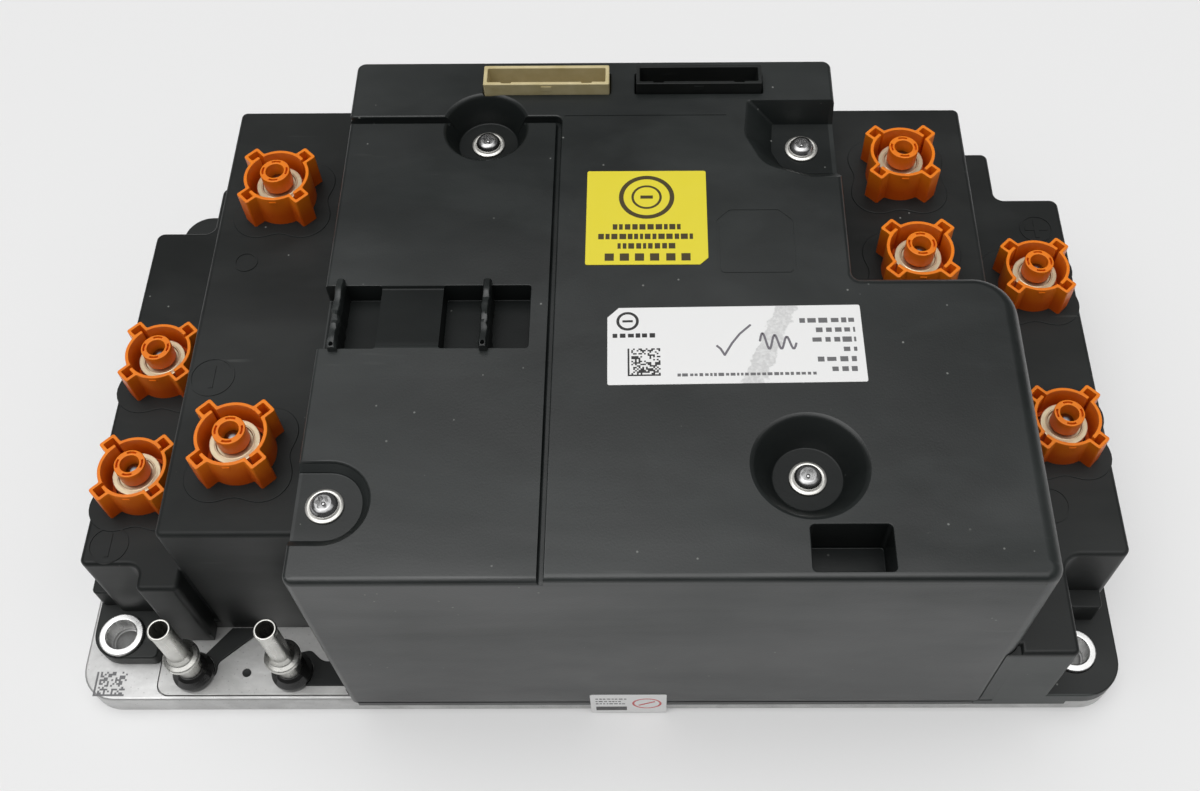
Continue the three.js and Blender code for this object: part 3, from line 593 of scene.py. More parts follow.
BLACK = black_plastic("black_plastic", (0.0115, 0.0128, 0.0124), 0.42, 0.26)
BLACK_COVER = black_plastic("black_cover_plastic", (0.0115, 0.0138, 0.0134), shaded_pockets=True)
ORANGE = orange_plastic("orange_plastic")
CREAM = cream_plastic("cream_plastic")
ALUMINIUM = cast_aluminium("cast_aluminium")
# painted shade: the lid's copy of the cast aluminium is darker than the plate's, for the shade by the
# housing's walls
SHADED_LID_METAL = cast_aluminium("skimmed_aluminium_painted_shade", (0.47, 0.47, 0.462), 0.4)
BRIGHT_STEEL = steel("bright_steel", (0.86, 0.86, 0.85), 0.3)
PIPE_STEEL = steel("drawn_steel", (0.66, 0.655, 0.62), 0.3)
SCREW_STEEL = steel("screw_steel", (0.44, 0.44, 0.44), 0.22)
POST_STEEL = steel("post_steel", (0.2, 0.2, 0.21), 0.14, (1, 1, 1))
WASHER_STEEL = steel("washer_steel", (0.78, 0.77, 0.73), 0.42, (1, 1, 1))
CONTACT = steel("tinned_contact", (0.76, 0.66, 0.46), 0.42, (1, 1, 1))
GLOSS_BLACK = plain_moulding("gloss_black", (0.012, 0.012, 0.012), 0.12)
COPPER = steel("bare_copper", (0.86, 0.44, 0.26), 0.34, (1, 0.1, 1))
BOARD = plain_moulding("green_board", (0.015, 0.12, 0.045), 0.35)
GREY = plain_moulding("grey_moulding", (0.11, 0.115, 0.12), 0.5)
RUBBER = plain_moulding("seal_rubber", (0.012, 0.012, 0.012), 0.75)
YELLOW = film("yellow_film", (0.80, 0.685, 0.035))
LABEL_WHITE = (0.86, 0.86, 0.855)
WHITE = film("white_film", LABEL_WHITE)
DATA_PLACE = middle("data_label")
RUBBED_WHITE = rubbed_film("rubbed_white_film", LABEL_WHITE, DATA_PLACE.x + 11.8, DATA_PLACE.y, 0.4, 3.9)
INK = film("black_ink", (0.02, 0.02, 0.02), 0.4)
BROWN_INK = film("brown_ink", (0.055, 0.038, 0.006), 0.4)
PALE_INK = film("grey_ink", (0.14, 0.14, 0.145), 0.4)
PEN_INK = film("pen_ink", (0.16, 0.15, 0.17), 0.4)
RED_INK = film("red_ink", (0.62, 0.06, 0.06), 0.4)


# ---------------------------------------------------------------- cooling plate and pipes

PLATE_TOP = PLATE_HIGH.z
LID_REACH = span("cooling_plate_lid")[1].x + 0.3
LID_TOP = span("cooling_plate_lid")[1].z
PIPE_NODES = ("coolant_inlet_pipe", "coolant_outlet_pipe")
PIPES = [middle(name) for name in PIPE_NODES]


def lid_outline(inset):
    reach = LID_REACH - inset
    return rectangle(-reach, reach, deep(1.5) + inset, deep(228) - inset, 5)


def drill(x, y, low, high, radius, sides=48):
    profile = [(0, low), (radius, low), (radius, high), (0, high)]
    return moved(turned("drill", profile, sides), x, y)


def make_plate():
    corners = rectangle(PLATE_LOW.x, PLATE_HIGH.x, PLATE_LOW.y, PLATE_HIGH.y, 14)
    plate = block("cooling_plate_casting", corners, 0, PLATE_TOP, 1.1, 0.8)
    cuts = [prism("bed", lid_outline(0), PLATE_TOP - 2.1, PLATE_TOP + 1)]
    rear, near, far = deep(205), deep(30), 150
    (inlet_x, pipe_y), outlet_x = PIPES[0].xy, PIPES[1].x
    half = 5  # of the coolant channel's width
    legs = [
        (inlet_x - half, inlet_x + half, pipe_y - half, rear + half),
        (inlet_x - half, far + half, rear - half, rear + half),
        (far - half, far + half, near - half, rear + half),
        (outlet_x - half, far + half, near - half, near + half),
        (outlet_x - half, outlet_x + half, pipe_y - half, near + half),
    ]
    cuts += [prism("channel", rectangle(*leg, 3), 4, PLATE_TOP) for leg in legs]
    over = PLATE_TOP + 1
    hole = [(0, -1), (5.4, -1), (4.5, 0.9), (4.5, PLATE_TOP - 0.6), (5.4, over), (0, over)]
    cuts += [moved(turned("hole", hole), place.x, place.y) for place in BUSHINGS]
    combine(plate, cuts)
    dress(plate, ALUMINIUM, "cast_aluminium", ["cooling_plate"])


def make_lid():
    lid = block("cooling_plate_lid_sheet", lid_outline(0.3), PLATE_TOP - 1.8, LID_TOP, 0.35)
    cuts = [drill(place.x, place.y, 0, LID_TOP + 1, 3.1) for place in PIPES]
    between = (PIPES[0].x + PIPES[1].x) / 2 + 1.1
    cuts.append(drill(between, PIPES[0].y, LID_TOP - 0.5, LID_TOP + 1, 1.8))
    dress(combine(lid, cuts), SHADED_LID_METAL, "cast_aluminium", ["cooling_plate_lid"])
    low, high = LID_TOP - 0.44, LID_TOP - 0.06
    profile = [(0, low), (1.6, low), (1.65, high, 0.1), (1.1, high - 0.06), (0, high - 0.12)]
    plug = turned("lid_witness_plug", profile, 32)
    dress(moved(plug, between, PIPES[0].y), BLACK, "black_plastic")


def make_pipe(index):
    """A drawn pipe with a stop bead, brazed into a dark glossy boss."""
    place, node = PIPES[index], PIPE_NODES[index]
    low, high = span(node)
    bead = 29.5
    pipe = turned(node.replace("_pipe", "_tube"), [
        (3.1, low.z), (4.6, low.z, 0.3), (4.55, bead - 3.4, 0.8), (5.2, bead - 2.2, 0.7),
        (6.85, bead - 0.9, 0.9), (6.85, bead + 0.9, 0.9), (4.7, bead + 2.0, 1.0), (4.0, bead + 4.5, 1.5),
        (4.0, high.z - 3.2, 2.0), (4.28, high.z - 0.7, 0.7), (4.0, high.z, 0.3), (3.35, high.z, 0.25),
        (3.1, high.z - 1.2, 0.8), (3.1, low.z),
    ], 64, closed=True)
    dress(moved(pipe, place.x, place.y), PIPE_STEEL, "bright_steel", [node])
    boss = turned(node.replace("_pipe", "_boss"), [
        (4.75, low.z + 0.1), (7.85, low.z + 0.1, 0.4), (7.85, low.z + 2.2, 1.2), (6.2, low.z + 4.8, 1.6),
        (5.0, low.z + 6.0, 0.5), (4.75, low.z + 6.0), (4.75, low.z + 0.1),
    ], 56, closed=True)
    dress(moved(boss, place.x, place.y), GLOSS_BLACK, "black_plastic")


def make_plate_webs():
    """Flat black webs that run from the pipe bosses under the housing."""
    inlet, outlet = PIPES
    half = 4.4
    slant = [
        (inlet.x + 1, inlet.y - 6.5, 3), (inlet.x + 8.6, inlet.y - 1, 4), (inlet.x + 8.6, inlet.y + 4, 3),
        (inlet.x + 25, inlet.y + 18.2), (inlet.x + 12, inlet.y + 18.2), (inlet.x + 2, inlet.y + 6, 2),
        (inlet.x - 5, inlet.y + 4, 3),
    ]
    straight = [
        (outlet.x + 2, outlet.y - half - 1, 2), (COVER_LEFT - 0.6, outlet.y - half - 1),
        (COVER_LEFT - 0.6, outlet.y + half), (outlet.x + 11, outlet.y + half, 5),
        (outlet.x + 6, outlet.y + 9, 3), (outlet.x - 2, outlet.y + 7, 3),
    ]
    for name, corners, place in (("inlet_web", slant, inlet), ("outlet_web", straight, outlet)):
        web = block(name, corners, LID_TOP + 0.02, LID_TOP + 0.9, 0.35)
        combine(web, [drill(place.x, place.y, 0, 40, 8.0)])
        dress(web, BLACK, "black_plastic")


make_plate()
make_lid()
for pipe_index in (0, 1):
    make_pipe(pipe_index)
make_plate_webs()


def make_bushing(index):
    low, high = span(f"mounting_bushing_{index}")
    place = middle(f"mounting_bushing_{index}")
    profile = [
        (5.6, low.z, 0.3), (8.5, low.z, 0.4), (8.5, high.z, 0.5), (6.1, high.z, 0.35),
        (5.6, high.z - 0.7, 0.2), (5.6, low.z),
    ]
    bushing = turned(f"bushing_ring_{index}", profile, 64, closed=True)
    dress(moved(bushing, place.x, place.y), BRIGHT_STEEL, "bright_steel", [f"mounting_bushing_{index}"])


for bushing_index in range(1, 5):
    make_bushing(bushing_index)


# ---------------------------------------------------------------- lower housing

def pad_outline(x, y):
    """A terminal's foot print: a round with a lobe under each corner channel, side by side."""
    arm, lobe = 8.7, 11.0
    start = math.acos(arm / lobe) - math.pi / 2
    points = []
    steps = 16
    for quarter in range(4):
        turn = quarter * math.pi / 2
        cx, cy = (Matrix.Rotation(turn, 2) @ Vector((arm, arm)))
        for k in range(steps):
            angle = turn + start + (math.pi / 2 - 2 * start) * k / steps
            points.append(Vector((x + cx + lobe * math.cos(angle), y + cy + lobe * math.sin(angle))))
    for _ in range(5):
        before, after = points[-1:] + points[:-1], points[1:] + points[:1]
        points = [(a + here * 2 + b) / 4 for a, here, b in zip(before, points, after)]
    return [tuple(point) for point in points]


def flat_ring(name, outer, inner, low, high):
    """A flat ring between two outlines of equal point counts."""
    count = len(outer)
    vertices = [(x, y, low) for x, y in outer] + [(x, y, low) for x, y in inner]
    vertices += [(x, y, high) for x, y in outer] + [(x, y, high) for x, y in inner]
    faces = []
    for i in range(count):
        n = (i + 1) % count
        faces += [[i, i + count, n + count, n], [i, n, n + 2 * count, i + 2 * count]]
        faces += [[i + 2 * count, n + 2 * count, n + 3 * count, i + 3 * count]]
        faces += [[i + count, i + 3 * count, n + 3 * count, n + count]]
    return mesh_object(name, vertices, faces)


def circle(x, y, radius, count=48):
    angles = [2 * math.pi * k / count for k in range(count)]
    return [(x + radius * math.cos(a), y + radius * math.sin(a)) for a in angles]


POLARITY = [  # x, y, top, radius, bars
    (-140.2, deep(93.5), MIDDLE_TOP, 8.3, 1),
    (-179.0, deep(41.5), OUTER_TOP, 7.5, 1),
    (168.7, deep(56.6), OUTER_TOP, 7.5, 1),
    (183.6, deep(186.8), OUTER_TOP, 7.0, 2),
    (-135.9, deep(146.1), MIDDLE_TOP, 4.6, 0),
]


def polarity_marks():
    """Low raised rings on the block tops, with a bar or a cross inside."""
    marks = []
    for x, y, top, radius, bars in POLARITY:
        marks.append(flat_ring("ring", circle(x, y, radius), circle(x, y, radius - 0.8), top - 1, top + 0.28))
        if bars:
            marks.append(moved(prism("bar", rectangle(-0.9, 0.9, -4.8, 4.8, 0.3), top - 1, top + 0.26), x, y))
        if bars == 2:
            marks.append(moved(prism("bar", rectangle(-4.8, 4.8, -0.9, 0.9, 0.3), top - 1, top + 0.24), x, y))
    return marks


def hollow_spans():
    outer = deep(33.6) + WALL
    return [
        (-185.5, -145, outer, deep(184), OUTER_TOP - WALL),
        (-161.5, -145, outer, deep(209), OUTER_TOP - WALL),
        (-146.8, -60, deep(32.3), deep(221.7), MIDDLE_TOP - WALL),
        (60, 146, deep(80), deep(221.5), MIDDLE_TOP - WALL),
        (140, 192.1, deep(39.3), deep(200), OUTER_TOP - WALL),
        (COVER_LEFT + 6.1, 86, deep(7.6), deep(214.5), ABOVE),
        (80, 140.5, deep(7.6), deep(96), ABOVE),
        (COVER_LEFT + 5.3, -80, deep(20), deep(34), ABOVE),
    ]


def cover_corners(inset=0.0):
    i = inset
    return [
        (COVER_LEFT + i, FRONT + i, 3.2, 2.6), (COVER_RIGHT - i, FRONT + i, 6.6 - i, 6.0),
        (COVER_RIGHT - i, SHOULDER_Y - i, 15 - i, 4.0), (SHOULDER_X - i, SHOULDER_Y - i, 2.5, 1.6),
        (SHOULDER_X - i, COVER_BACK - i, 3.4, 1.4), (COVER_LEFT + i, COVER_BACK - i, 3.4, 1.4),
    ]


def make_housing():
    left_block = [
        (-188.5, deep(33.6), 3), (-166, deep(33.6), 4.5), (-166, deep(23.7), 2.2), (-150.5, deep(23.7), 2.2),
        (-150.5, deep(31)), (-140, deep(31)), (-140, deep(212), 2.2), (-164.5, deep(212), 3.5),
        (-164.5, deep(187), 4), (-188.5, deep(187), 3.5),
    ]
    right_block = [
        (144, deep(1.8)), (COVER_RIGHT + 0.3, deep(1.8)), (COVER_RIGHT + 0.3, FRONT),
        (170.5, FRONT, 2.4), (170.5, deep(36.3), 6.5), (195.1, deep(36.3), 3.2), (195.1, deep(203), 3.5),
        (168.5, deep(203), 4), (168.5, deep(229), 3), (144, deep(229)),
    ]
    flange = [
        (-196, deep(14.4), 11), (-170, deep(14.4), 2.5), (-170, deep(29.3)), (-165.7, deep(29.3)),
        (-165.7, deep(24)), (-150.8, deep(24)), (-150.8, deep(29.3)), (COVER_LEFT - 1, deep(29.3)),
        (COVER_LEFT - 1, deep(1.8)), (COVER_RIGHT + 0.3, deep(1.8)), (COVER_RIGHT + 0.3, FRONT),
        (FLANGE_RIGHT, FRONT, 15), (FLANGE_RIGHT, deep(231), 12), (-196, deep(231), 12),
    ]
    housing = block("housing_moulding", flange, FLANGE_LOW, FLANGE_HIGH, 0.8)
    middle_left = rectangle(-149.8, -90, deep(29.3), deep(224.7), 2.6)
    middle_right = rectangle(89, 149, deep(100), deep(224.5), 2.6)
    parts = [
        block("skirt", rectangle(-195.6, -180, deep(36.2), deep(190), 2), ROOT, SKIRT_TOP, 0.8),
        block("skirt", rectangle(180, 192.6, deep(29), deep(205), 2), ROOT, SKIRT_TOP, 0.8),
        block("outer_left", left_block, ROOT + 0.1, OUTER_TOP, 1.8),
        block("outer_right", right_block, ROOT + 0.1, OUTER_TOP, 1.8),
        block("middle_left", middle_left, ROOT + 0.2, MIDDLE_TOP, 2.0),
        block("middle_right", middle_right, ROOT + 0.2, MIDDLE_TOP, 2.0),
        cuboid("kerb", COVER_LEFT + 3.6, 143, deep(5.1), deep(217), ROOT + 0.3, SKIRT_TOP - 1),
        cuboid("lip", COVER_RIGHT - 6.4, 178, FRONT, FRONT + 1.2, LIP_LOW, FLANGE_LOW + 1),
    ]
    left, right = COVER_RIGHT - 6.9, COVER_RIGHT + 2
    corner = cuboid("corner", left, right, FRONT + 0.02, deep(9), ROOT + 0.4, OUTER_TOP - 1.2)
    cover_gap = [(x, y, radius) for x, y, radius, _ in cover_corners(-0.25)]
    parts.append(combine(corner, [prism("cover_gap", cover_gap, 0, OUTER_TOP + 20)]))
    for place, foot in zip(TERMINALS, TERMINAL_FEET):
        parts.append(block("pad", pad_outline(place.x, place.y), foot - 4, foot + 0.35, 0.3))
    parts += polarity_marks()
    combine(housing, parts, "UNION")
    cuts = [cuboid("hollow", x0, x1, y0, y1, FLANGE_LOW - 1, top) for x0, x1, y0, y1, top in hollow_spans()]
    for place, foot in zip(TERMINALS, TERMINAL_FEET):
        cuts.append(drill(place.x, place.y, foot - 6, foot + 1, 9.7))
    cuts += [drill(place.x, place.y, 0, 30, 8.8, 64) for place in BUSHINGS]
    combine(housing, cuts)
    dress(housing, BLACK, "black_plastic", ["base_housing"])


make_housing()


# ---------------------------------------------------------------- cover

def raised_corners():
    """The higher part of the cover's top: all but the panel at its left front."""
    i = 0.02
    return [
        (GROOVE[1], FRONT + i, 0, 2.6), (COVER_RIGHT - i, FRONT + i, 6.6, 6.0),
        (COVER_RIGHT - i, SHOULDER_Y - i, 15, 4.0), (SHOULDER_X - i, SHOULDER_Y - i, 2.5, 1.6),
        (SHOULDER_X - i, COVER_BACK - i, 3.4, 1.4), (COVER_LEFT + i, COVER_BACK - i, 3.4, 1.4),
        (COVER_LEFT + i, PANEL_BACK, 1.6, 0.7), (GROOVE[1], PANEL_BACK, 2.6, 0.6),
    ]


def groove_corners():
    near = PANEL_BACK - 1.7
    return [
        (GROOVE[0], FRONT - 8, 0, 0.01), (GROOVE[1], FRONT - 8, 0, 0.01), (GROOVE[1], PANEL_BACK, 2.6, 0.01),
        (COVER_LEFT - 8, PANEL_BACK, 0, 0.01), (COVER_LEFT - 8, near, 0, 1), (GROOVE[0], near, 1.0, 1),
    ]


def cone_cutter(place, floor, base, rim, top, soft=2.6):
    profile = [(0, floor), (base, floor, 0.7), (rim, top, soft), (rim + 12, top + 0.9), (0, top + 0.9)]
    return moved(turned("cone", profile, 96), place.x, place.y)


def cone_solid(place, low, high, base, rim):
    return moved(turned("cone", [(0, low), (base, low), (rim, high), (0, high)], 64), place.x, place.y)



def pocket_backing():
    """Solid material under the pockets, inside the cover's shell."""
    s1, s2, _, s4 = SCREWS
    top = COVER_TOP - WALL + 1
    near, far = FIN_Y[0] - 2.5, FIN_Y[1] + 2.5
    return [
        cuboid("panel", COVER_LEFT + 1, -11, FRONT + 2, deep(194), PANEL_TOP - WALL, top),
        cone_solid(s1, 113, top - 0.01, 14, 18.5),
        cuboid("back", s2.x - 25, 90, s2.y - 25, s2.y + 19, 114.3, top - 0.02),
        cuboid("back", COVER_LEFT + 1.1, -66, deep(8), deep(44), 119.4, top - 0.03),
        cone_solid(s4, 114.3, top - 0.04, 14.5, 21.5),
        cuboid("back", 68.4, 98.9, FRONT + 1, deep(19.9), 107.5, top - 0.05),
        cuboid("back", COVER_LEFT + 1.2, -72.2, near, far, FIN_FLOOR - 2.5, top - 0.06),
        cuboid("back", -55, -19.4, near, far, FIN_FLOOR - 2.5, top - 0.07),
    ]


def between_outlines(low, high, share, z):
    """A ring part of the way from one outline to another of equal point counts."""
    return [(a[0] + (b[0] - a[0]) * share, a[1] + (b[1] - a[1]) * share, z) for a, b in zip(low, high)]


def corner_room():
    """The pocket of the screw by the shoulder: steep behind, round at its front left, open to the right."""
    place, floor = SCREWS[1], SCREW_FLOORS[1]
    x, y = place.x, place.y
    floor_line = [
        (x + 30, y - 12), (x + 30, y + 13), (x - 10.6, y + 13, 1.2), (x - 11.6, y - 1, 5), (x - 8, y - 9, 6),
        (x + 1, y - 12, 8),
    ]
    rim_line = [
        (x + 30, y - 22.4), (x + 30, y + 16.3), (x - 20.6, y + 16.3, 1.5), (x - 22.4, y - 1, 9),
        (x - 16, y - 16, 11), (x + 1, y - 22.4, 15),
    ]
    low, high = outline(floor_line, 1, 8), outline(rim_line, 1, 8)
    reach = 10.8
    profile = softened([(0, floor), (reach, COVER_TOP, 2.4), (reach + 7, COVER_TOP + 0.8)])
    made = loft("corner_room", [between_outlines(low, high, out / reach, z) for out, z in profile])
    limit = cuboid("limit", x - 60, x + 60, y - 60, y + 16.45, floor - 1, COVER_TOP + 2)
    return combine(made, [limit], "INTERSECT")


def edge_room():
    """The shallow pocket of the screw at the left edge, open to that side."""
    place, floor = SCREWS[2], SCREW_FLOORS[2]
    x, y, base = place.x, place.y, 12.5
    bend = base * 0.97
    corners = [(x - 30, y - base), (x + base, y - base, bend), (x + base, y + base, bend), (x - 30, y + base)]
    return room("edge_room", corners, floor, PANEL_TOP, 2.2, 1.0, 0.5)


def fin(x):
    """A short rough rib of torn-off moulding across its pocket, with a pinhole at its front end."""
    rng = random.Random(round(x))
    near, far = FIN_Y
    stations = 19
    rings = []
    for k in range(stations):
        y = near - 1.6 + (far - near + 2.9) * k / (stations - 1)
        top = 128.7 + 0.4 * math.sin(k * 0.9) + rng.uniform(-0.5, 0.5)
        half = 1.5 + rng.uniform(-0.2, 0.2)
        drift = rng.uniform(-0.2, 0.2)
        cross = [
            (-half - 0.1, FIN_FLOOR - 1), (half + 0.1, FIN_FLOOR - 1), (half, top - 1.2),
            (half * 0.6, top - 0.25), (0.1, top), (-half * 0.7, top - 0.35), (-half, top - 1.3),
        ]
        rings.append([(x + drift + across, y, z) for across, z in cross])
    return loft("fin", rings)


def sunk_band():
    """A cutter for the shallow dip between the fin pockets, deeper at its back."""
    near, far = FIN_Y
    section = [
        (near - 0.9, 0.1), (near + 0.3, -0.08), (near + 1.4, -0.3), (far - 1.0, -1.1), (far - 0.5, -0.95),
        (far - 0.15, -0.5), (far + 0.2, 0.1), (far + 0.2, 3), (near - 0.9, 3),
    ]
    left, right = FIN_POCKETS[0][1] - 3, FIN_POCKETS[1][0] + 3
    return loft("band", [[(x, y, PANEL_TOP + z) for y, z in section] for x in (left, right)])


def shallow_frame(inset):
    i = inset
    x0, x1, y0, y1 = 44.5, 72.5, deep(115.5), deep(145)
    return [
        (x0 + i, y0 + i, 2.5 - i), (x1 - i, y0 + i, 2.5 - i), (x1 - i, y1 - 5 - i * 0.4, 2),
        (x1 - 5 - i * 0.4, y1 - i, 2), (x0 + 5 + i * 0.4, y1 - i, 2), (x0 + i, y1 - 5 - i * 0.4, 2),
    ]


def ledges():
    """The steps under the cover, where it sits on the blocks of the lower housing."""
    gap = 0.3
    left, right, back = COVER_LEFT - 5, COVER_RIGHT + 5, COVER_BACK + 5
    return [
        cuboid("ledge", left, right, deep(1.65), back, 0, FLANGE_HIGH + gap),
        cuboid("ledge", left, -90 + gap, deep(29.3) - gap, back, 0, MIDDLE_TOP + gap),
        cuboid("ledge", 89 - gap, right, deep(100) - gap, back, 0, MIDDLE_TOP + gap),
        cuboid("ledge", 130, right, deep(1.65), deep(100), 0, OUTER_TOP + gap),
    ]


def header_slot(node):
    low, high = span(node)
    gap = 0.4
    corners = rectangle(low.x - gap, high.x + gap, low.y - gap, high.y + gap, 0.6)
    return room("slot", corners, 100, COVER_TOP, 0.05, 0.5, 0.1)


def make_cover():
    s1, s4 = SCREWS[0], SCREWS[3]
    near, far = FIN_Y
    cover = block("cover_moulding", cover_corners(), FLANGE_LOW, PANEL_TOP)
    raised = block("raised", raised_corners(), 112, COVER_TOP)
    lip = cuboid("lip", COVER_LEFT + 3, COVER_RIGHT - 6.6, FRONT, FRONT + 1.2, LIP_LOW, FLANGE_LOW + 1)
    combine(cover, [raised, lip], "UNION")
    combine(cover, [prism("inside", [corner[:3] for corner in cover_corners(WALL)], 0, COVER_TOP - WALL)])
    combine(cover, pocket_backing(), "UNION")
    low_side = cone_cutter(s1, SCREW_FLOORS[0], 11.5, 15.7, PANEL_TOP, 2.2)
    combine(low_side, [cuboid("half", -120, GROOVE[1], deep(150), PANEL_BACK, 100, 140)], "INTERSECT")
    cuts = [
        cone_cutter(s1, SCREW_FLOORS[0], 11.5, 16, COVER_TOP),
        low_side,
        corner_room(),
        edge_room(),
        cone_cutter(s4, SCREW_FLOORS[3], 11.8, 18.9, COVER_TOP, 3.2),
        room("notch", rectangle(70.9, 96.4, deep(1.7), deep(17.4), 1.3), 110, COVER_TOP, 0.25, 0.5),
        room("groove", groove_corners(), PANEL_TOP - 1.9, PANEL_TOP, 0.1, 0.35, 0.8, 0.2),
        sunk_band(),
    ]
    for left, right, _ in FIN_POCKETS:
        corners = rectangle(left, right, near, far, 0.8)
        cuts.append(room("pocket", corners, FIN_FLOOR, PANEL_TOP, 0.2, 0.35, 0.4))
    cuts += [header_slot("header_socket_cream"), header_slot("header_socket_black")]
    cuts += [drill(place.x, place.y, 100, 130, 3.0) for place in SCREWS]
    outer = [point[:2] for point in outline(shallow_frame(0), 1, 4)]
    inner = [point[:2] for point in outline(shallow_frame(1.1), 1, 4)]
    cuts.append(flat_ring("panel_outline", outer, inner, COVER_TOP - 0.2, COVER_TOP + 1))
    back_line = (GROOVE[1] + 1, 50, deep(191.2), deep(191.8), COVER_TOP - 0.22, COVER_TOP + 1)
    cuts.append(cuboid("back_line", *back_line))
    combine(cover, cuts + ledges())
    combine(cover, [fin(middle_x) for _, _, middle_x in FIN_POCKETS], "UNION")
    combine(cover, [drill(x, near - 0.4, FIN_FLOOR + 4, COVER_TOP + 4, 0.8, 16) for _, _, x in FIN_POCKETS])
    dress(cleaned(cover, COARSE_SLIVER), BLACK_COVER, "black_plastic", ["main_cover"])


make_cover()


# ---------------------------------------------------------------- cover screws

def copied(original, name, x, y, z, replaces=()):
    """Another piece with the same mesh, placed in millimetres."""
    made = original.copy()
    made.name = name
    bpy.context.scene.collection.objects.link(made)
    made.location = (x * MM, y * MM, z * MM)
    bpy.context.view_layer.update()
    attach(made, UNIT)
    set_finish(made, original["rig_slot"])
    if replaces:
        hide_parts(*replaces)
    return made


def discard(*spare):
    for made in spare:
        bpy.data.objects.remove(made)


def six_lobes(radius, z0, z1):
    points = []
    count = 60
    for k in range(count):
        angle = 2 * math.pi * k / count
        reach = radius * (1 + 0.16 * math.cos(6 * angle))
        points.append((reach * math.cos(angle), reach * math.sin(angle)))
    return prism("lobes", points, z0, z1)


def screw_head():
    """A domed button head with a six-lobe socket and a pin in the middle of it."""
    head = turned("screw_head", [
        (0, -19.8), (1.9, -19.8, 0.3), (2.4, -18.6), (2.4, 0.9), (4.7, 0.9, 0.2), (4.65, 1.7, 0.5),
        (3.9, 3.0, 1.6), (2.75, 3.62, 0.6), (0, 3.7),
    ], 64)
    combine(head, [six_lobes(2.25, 1.5, 5)])
    pin = turned("pin", [(0, 1.2), (0.7, 1.2), (0.7, 2.7, 0.3), (0, 2.9)], 24)
    return combine(head, [pin], "UNION")


def screw_washer():
    return turned("screw_washer", [
        (2.6, 0.1), (6.3, 0.1, 0.2), (6.3, 0.75, 0.35), (5.4, 1.15, 0.5), (4.3, 0.85, 0.2), (2.6, 0.8),
        (2.6, 0.1),
    ], 72, closed=True)


def make_screws():
    head, washer = screw_head(), screw_washer()
    for made, look in ((head, SCREW_STEEL), (washer, WASHER_STEEL)):
        dress(made, look, "bright_steel")
    for i, (place, floor) in enumerate(zip(SCREWS, SCREW_FLOORS), 1):
        copied(head, f"cover_screw_head_{i}", place.x, place.y, floor, [f"cover_screw_{i}"])
        copied(washer, f"cover_screw_washer_{i}", place.x, place.y, floor)
    discard(head, washer)


make_screws()


# ---------------------------------------------------------------- terminals

RING, RING_WALL, GUARD_TOP = 12.6, 1.25, 15.0
CONTACT_TOP = 9.6  # above the guard's foot
TAB_REACH, TAB_HALF = 16.7, 3.3
CHANNEL_HALF, CHANNEL_IN, CHANNEL_OUT = 2.1, RING + 0.05, TAB_REACH - RING_WALL
SLOT_SIDE = -0.8  # the slot into each channel runs from the channel's low side to here


def round_between(radius, start, end):
    """Points along a circle about the origin, both ends left out, one to about six degrees."""
    count = max(2, round(math.degrees(end - start) / 6))
    angles = [start + (end - start) * k / count for k in range(1, count)]
    return [(radius * math.cos(a), radius * math.sin(a)) for a in angles]


def spun(points, angle):
    turn = Matrix.Rotation(angle, 2)
    return [(*(turn @ Vector(point[:2])), *point[2:]) for point in points]


def four_fold(detail, radius, start, end):
    """A round outline with the same detail at each diagonal; start and end are where the arc meets it."""
    corners = []
    for eighth in (1, 3, 5, 7):
        angle = eighth * math.pi / 4
        corners += spun(detail, angle)
        corners += round_between(radius, angle + start, angle + math.pi / 2 + end)
    return corners


def guard_outside():
    foot, half = math.sqrt(RING**2 - TAB_HALF**2), math.asin(TAB_HALF / RING)
    tab = [
        (foot, -TAB_HALF, 0.8), (TAB_REACH, -TAB_HALF, 0.9), (TAB_REACH, TAB_HALF, 0.9),
        (foot, TAB_HALF, 0.8),
    ]
    return four_fold(tab, RING, half, -half)


def guard_inside():
    inner = RING - RING_WALL
    low, high = -CHANNEL_HALF, CHANNEL_HALF
    channel = [
        (math.sqrt(inner**2 - low**2), low), (CHANNEL_OUT, low, 0.4), (CHANNEL_OUT, high, 0.4),
        (CHANNEL_IN, high, 0.4), (CHANNEL_IN, SLOT_SIDE, 0.35),
        (math.sqrt(inner**2 - SLOT_SIDE**2), SLOT_SIDE, 0.35),
    ]
    return four_fold(channel, inner, math.asin(SLOT_SIDE / inner), math.asin(low / inner))


def make_guard():
    """A finger guard: a cup wall with a channel at each diagonal, joined to the inside by a narrow slot."""
    guard = block("terminal_guard_moulding", guard_outside(), 0.3, GUARD_TOP, 0.3)
    dash = cuboid("dash", -1.3, 1.3, -RING - 0.25, -RING + 0.5, GUARD_TOP - 2.2, GUARD_TOP - 1.4)
    combine(guard, [dash], "UNION")
    inside = room("inside", guard_inside(), 1.5, GUARD_TOP, 0, 0.22, 0.15, 0)
    return combine(guard, [inside, drill(0, 0, 0, 5, 10.1, 64)])


def arc_slot(middle_angle, inner, outer, low, high):
    half = math.radians(28)
    rim = round_between(outer, middle_angle - half, middle_angle + half)
    core = round_between(inner, middle_angle - half, middle_angle + half)
    return prism("slot", rim + core[::-1], low, high)


def make_sleeve():
    """The insulating sleeve round a terminal's post, with four arc slots in its top face."""
    foot, top = CONTACT_TOP + 0.6, 17.5
    sleeve = turned("terminal_sleeve_moulding", [
        (3.5, foot), (5.7, foot, 0.5), (5.7, top, 0.3), (3.5, top, 0.25), (3.5, foot),
    ], 64, closed=True)
    slots = [arc_slot(quarter * math.pi / 2, 4.25, 5.05, top - 1.6, top + 1) for quarter in range(4)]
    return combine(sleeve, slots)


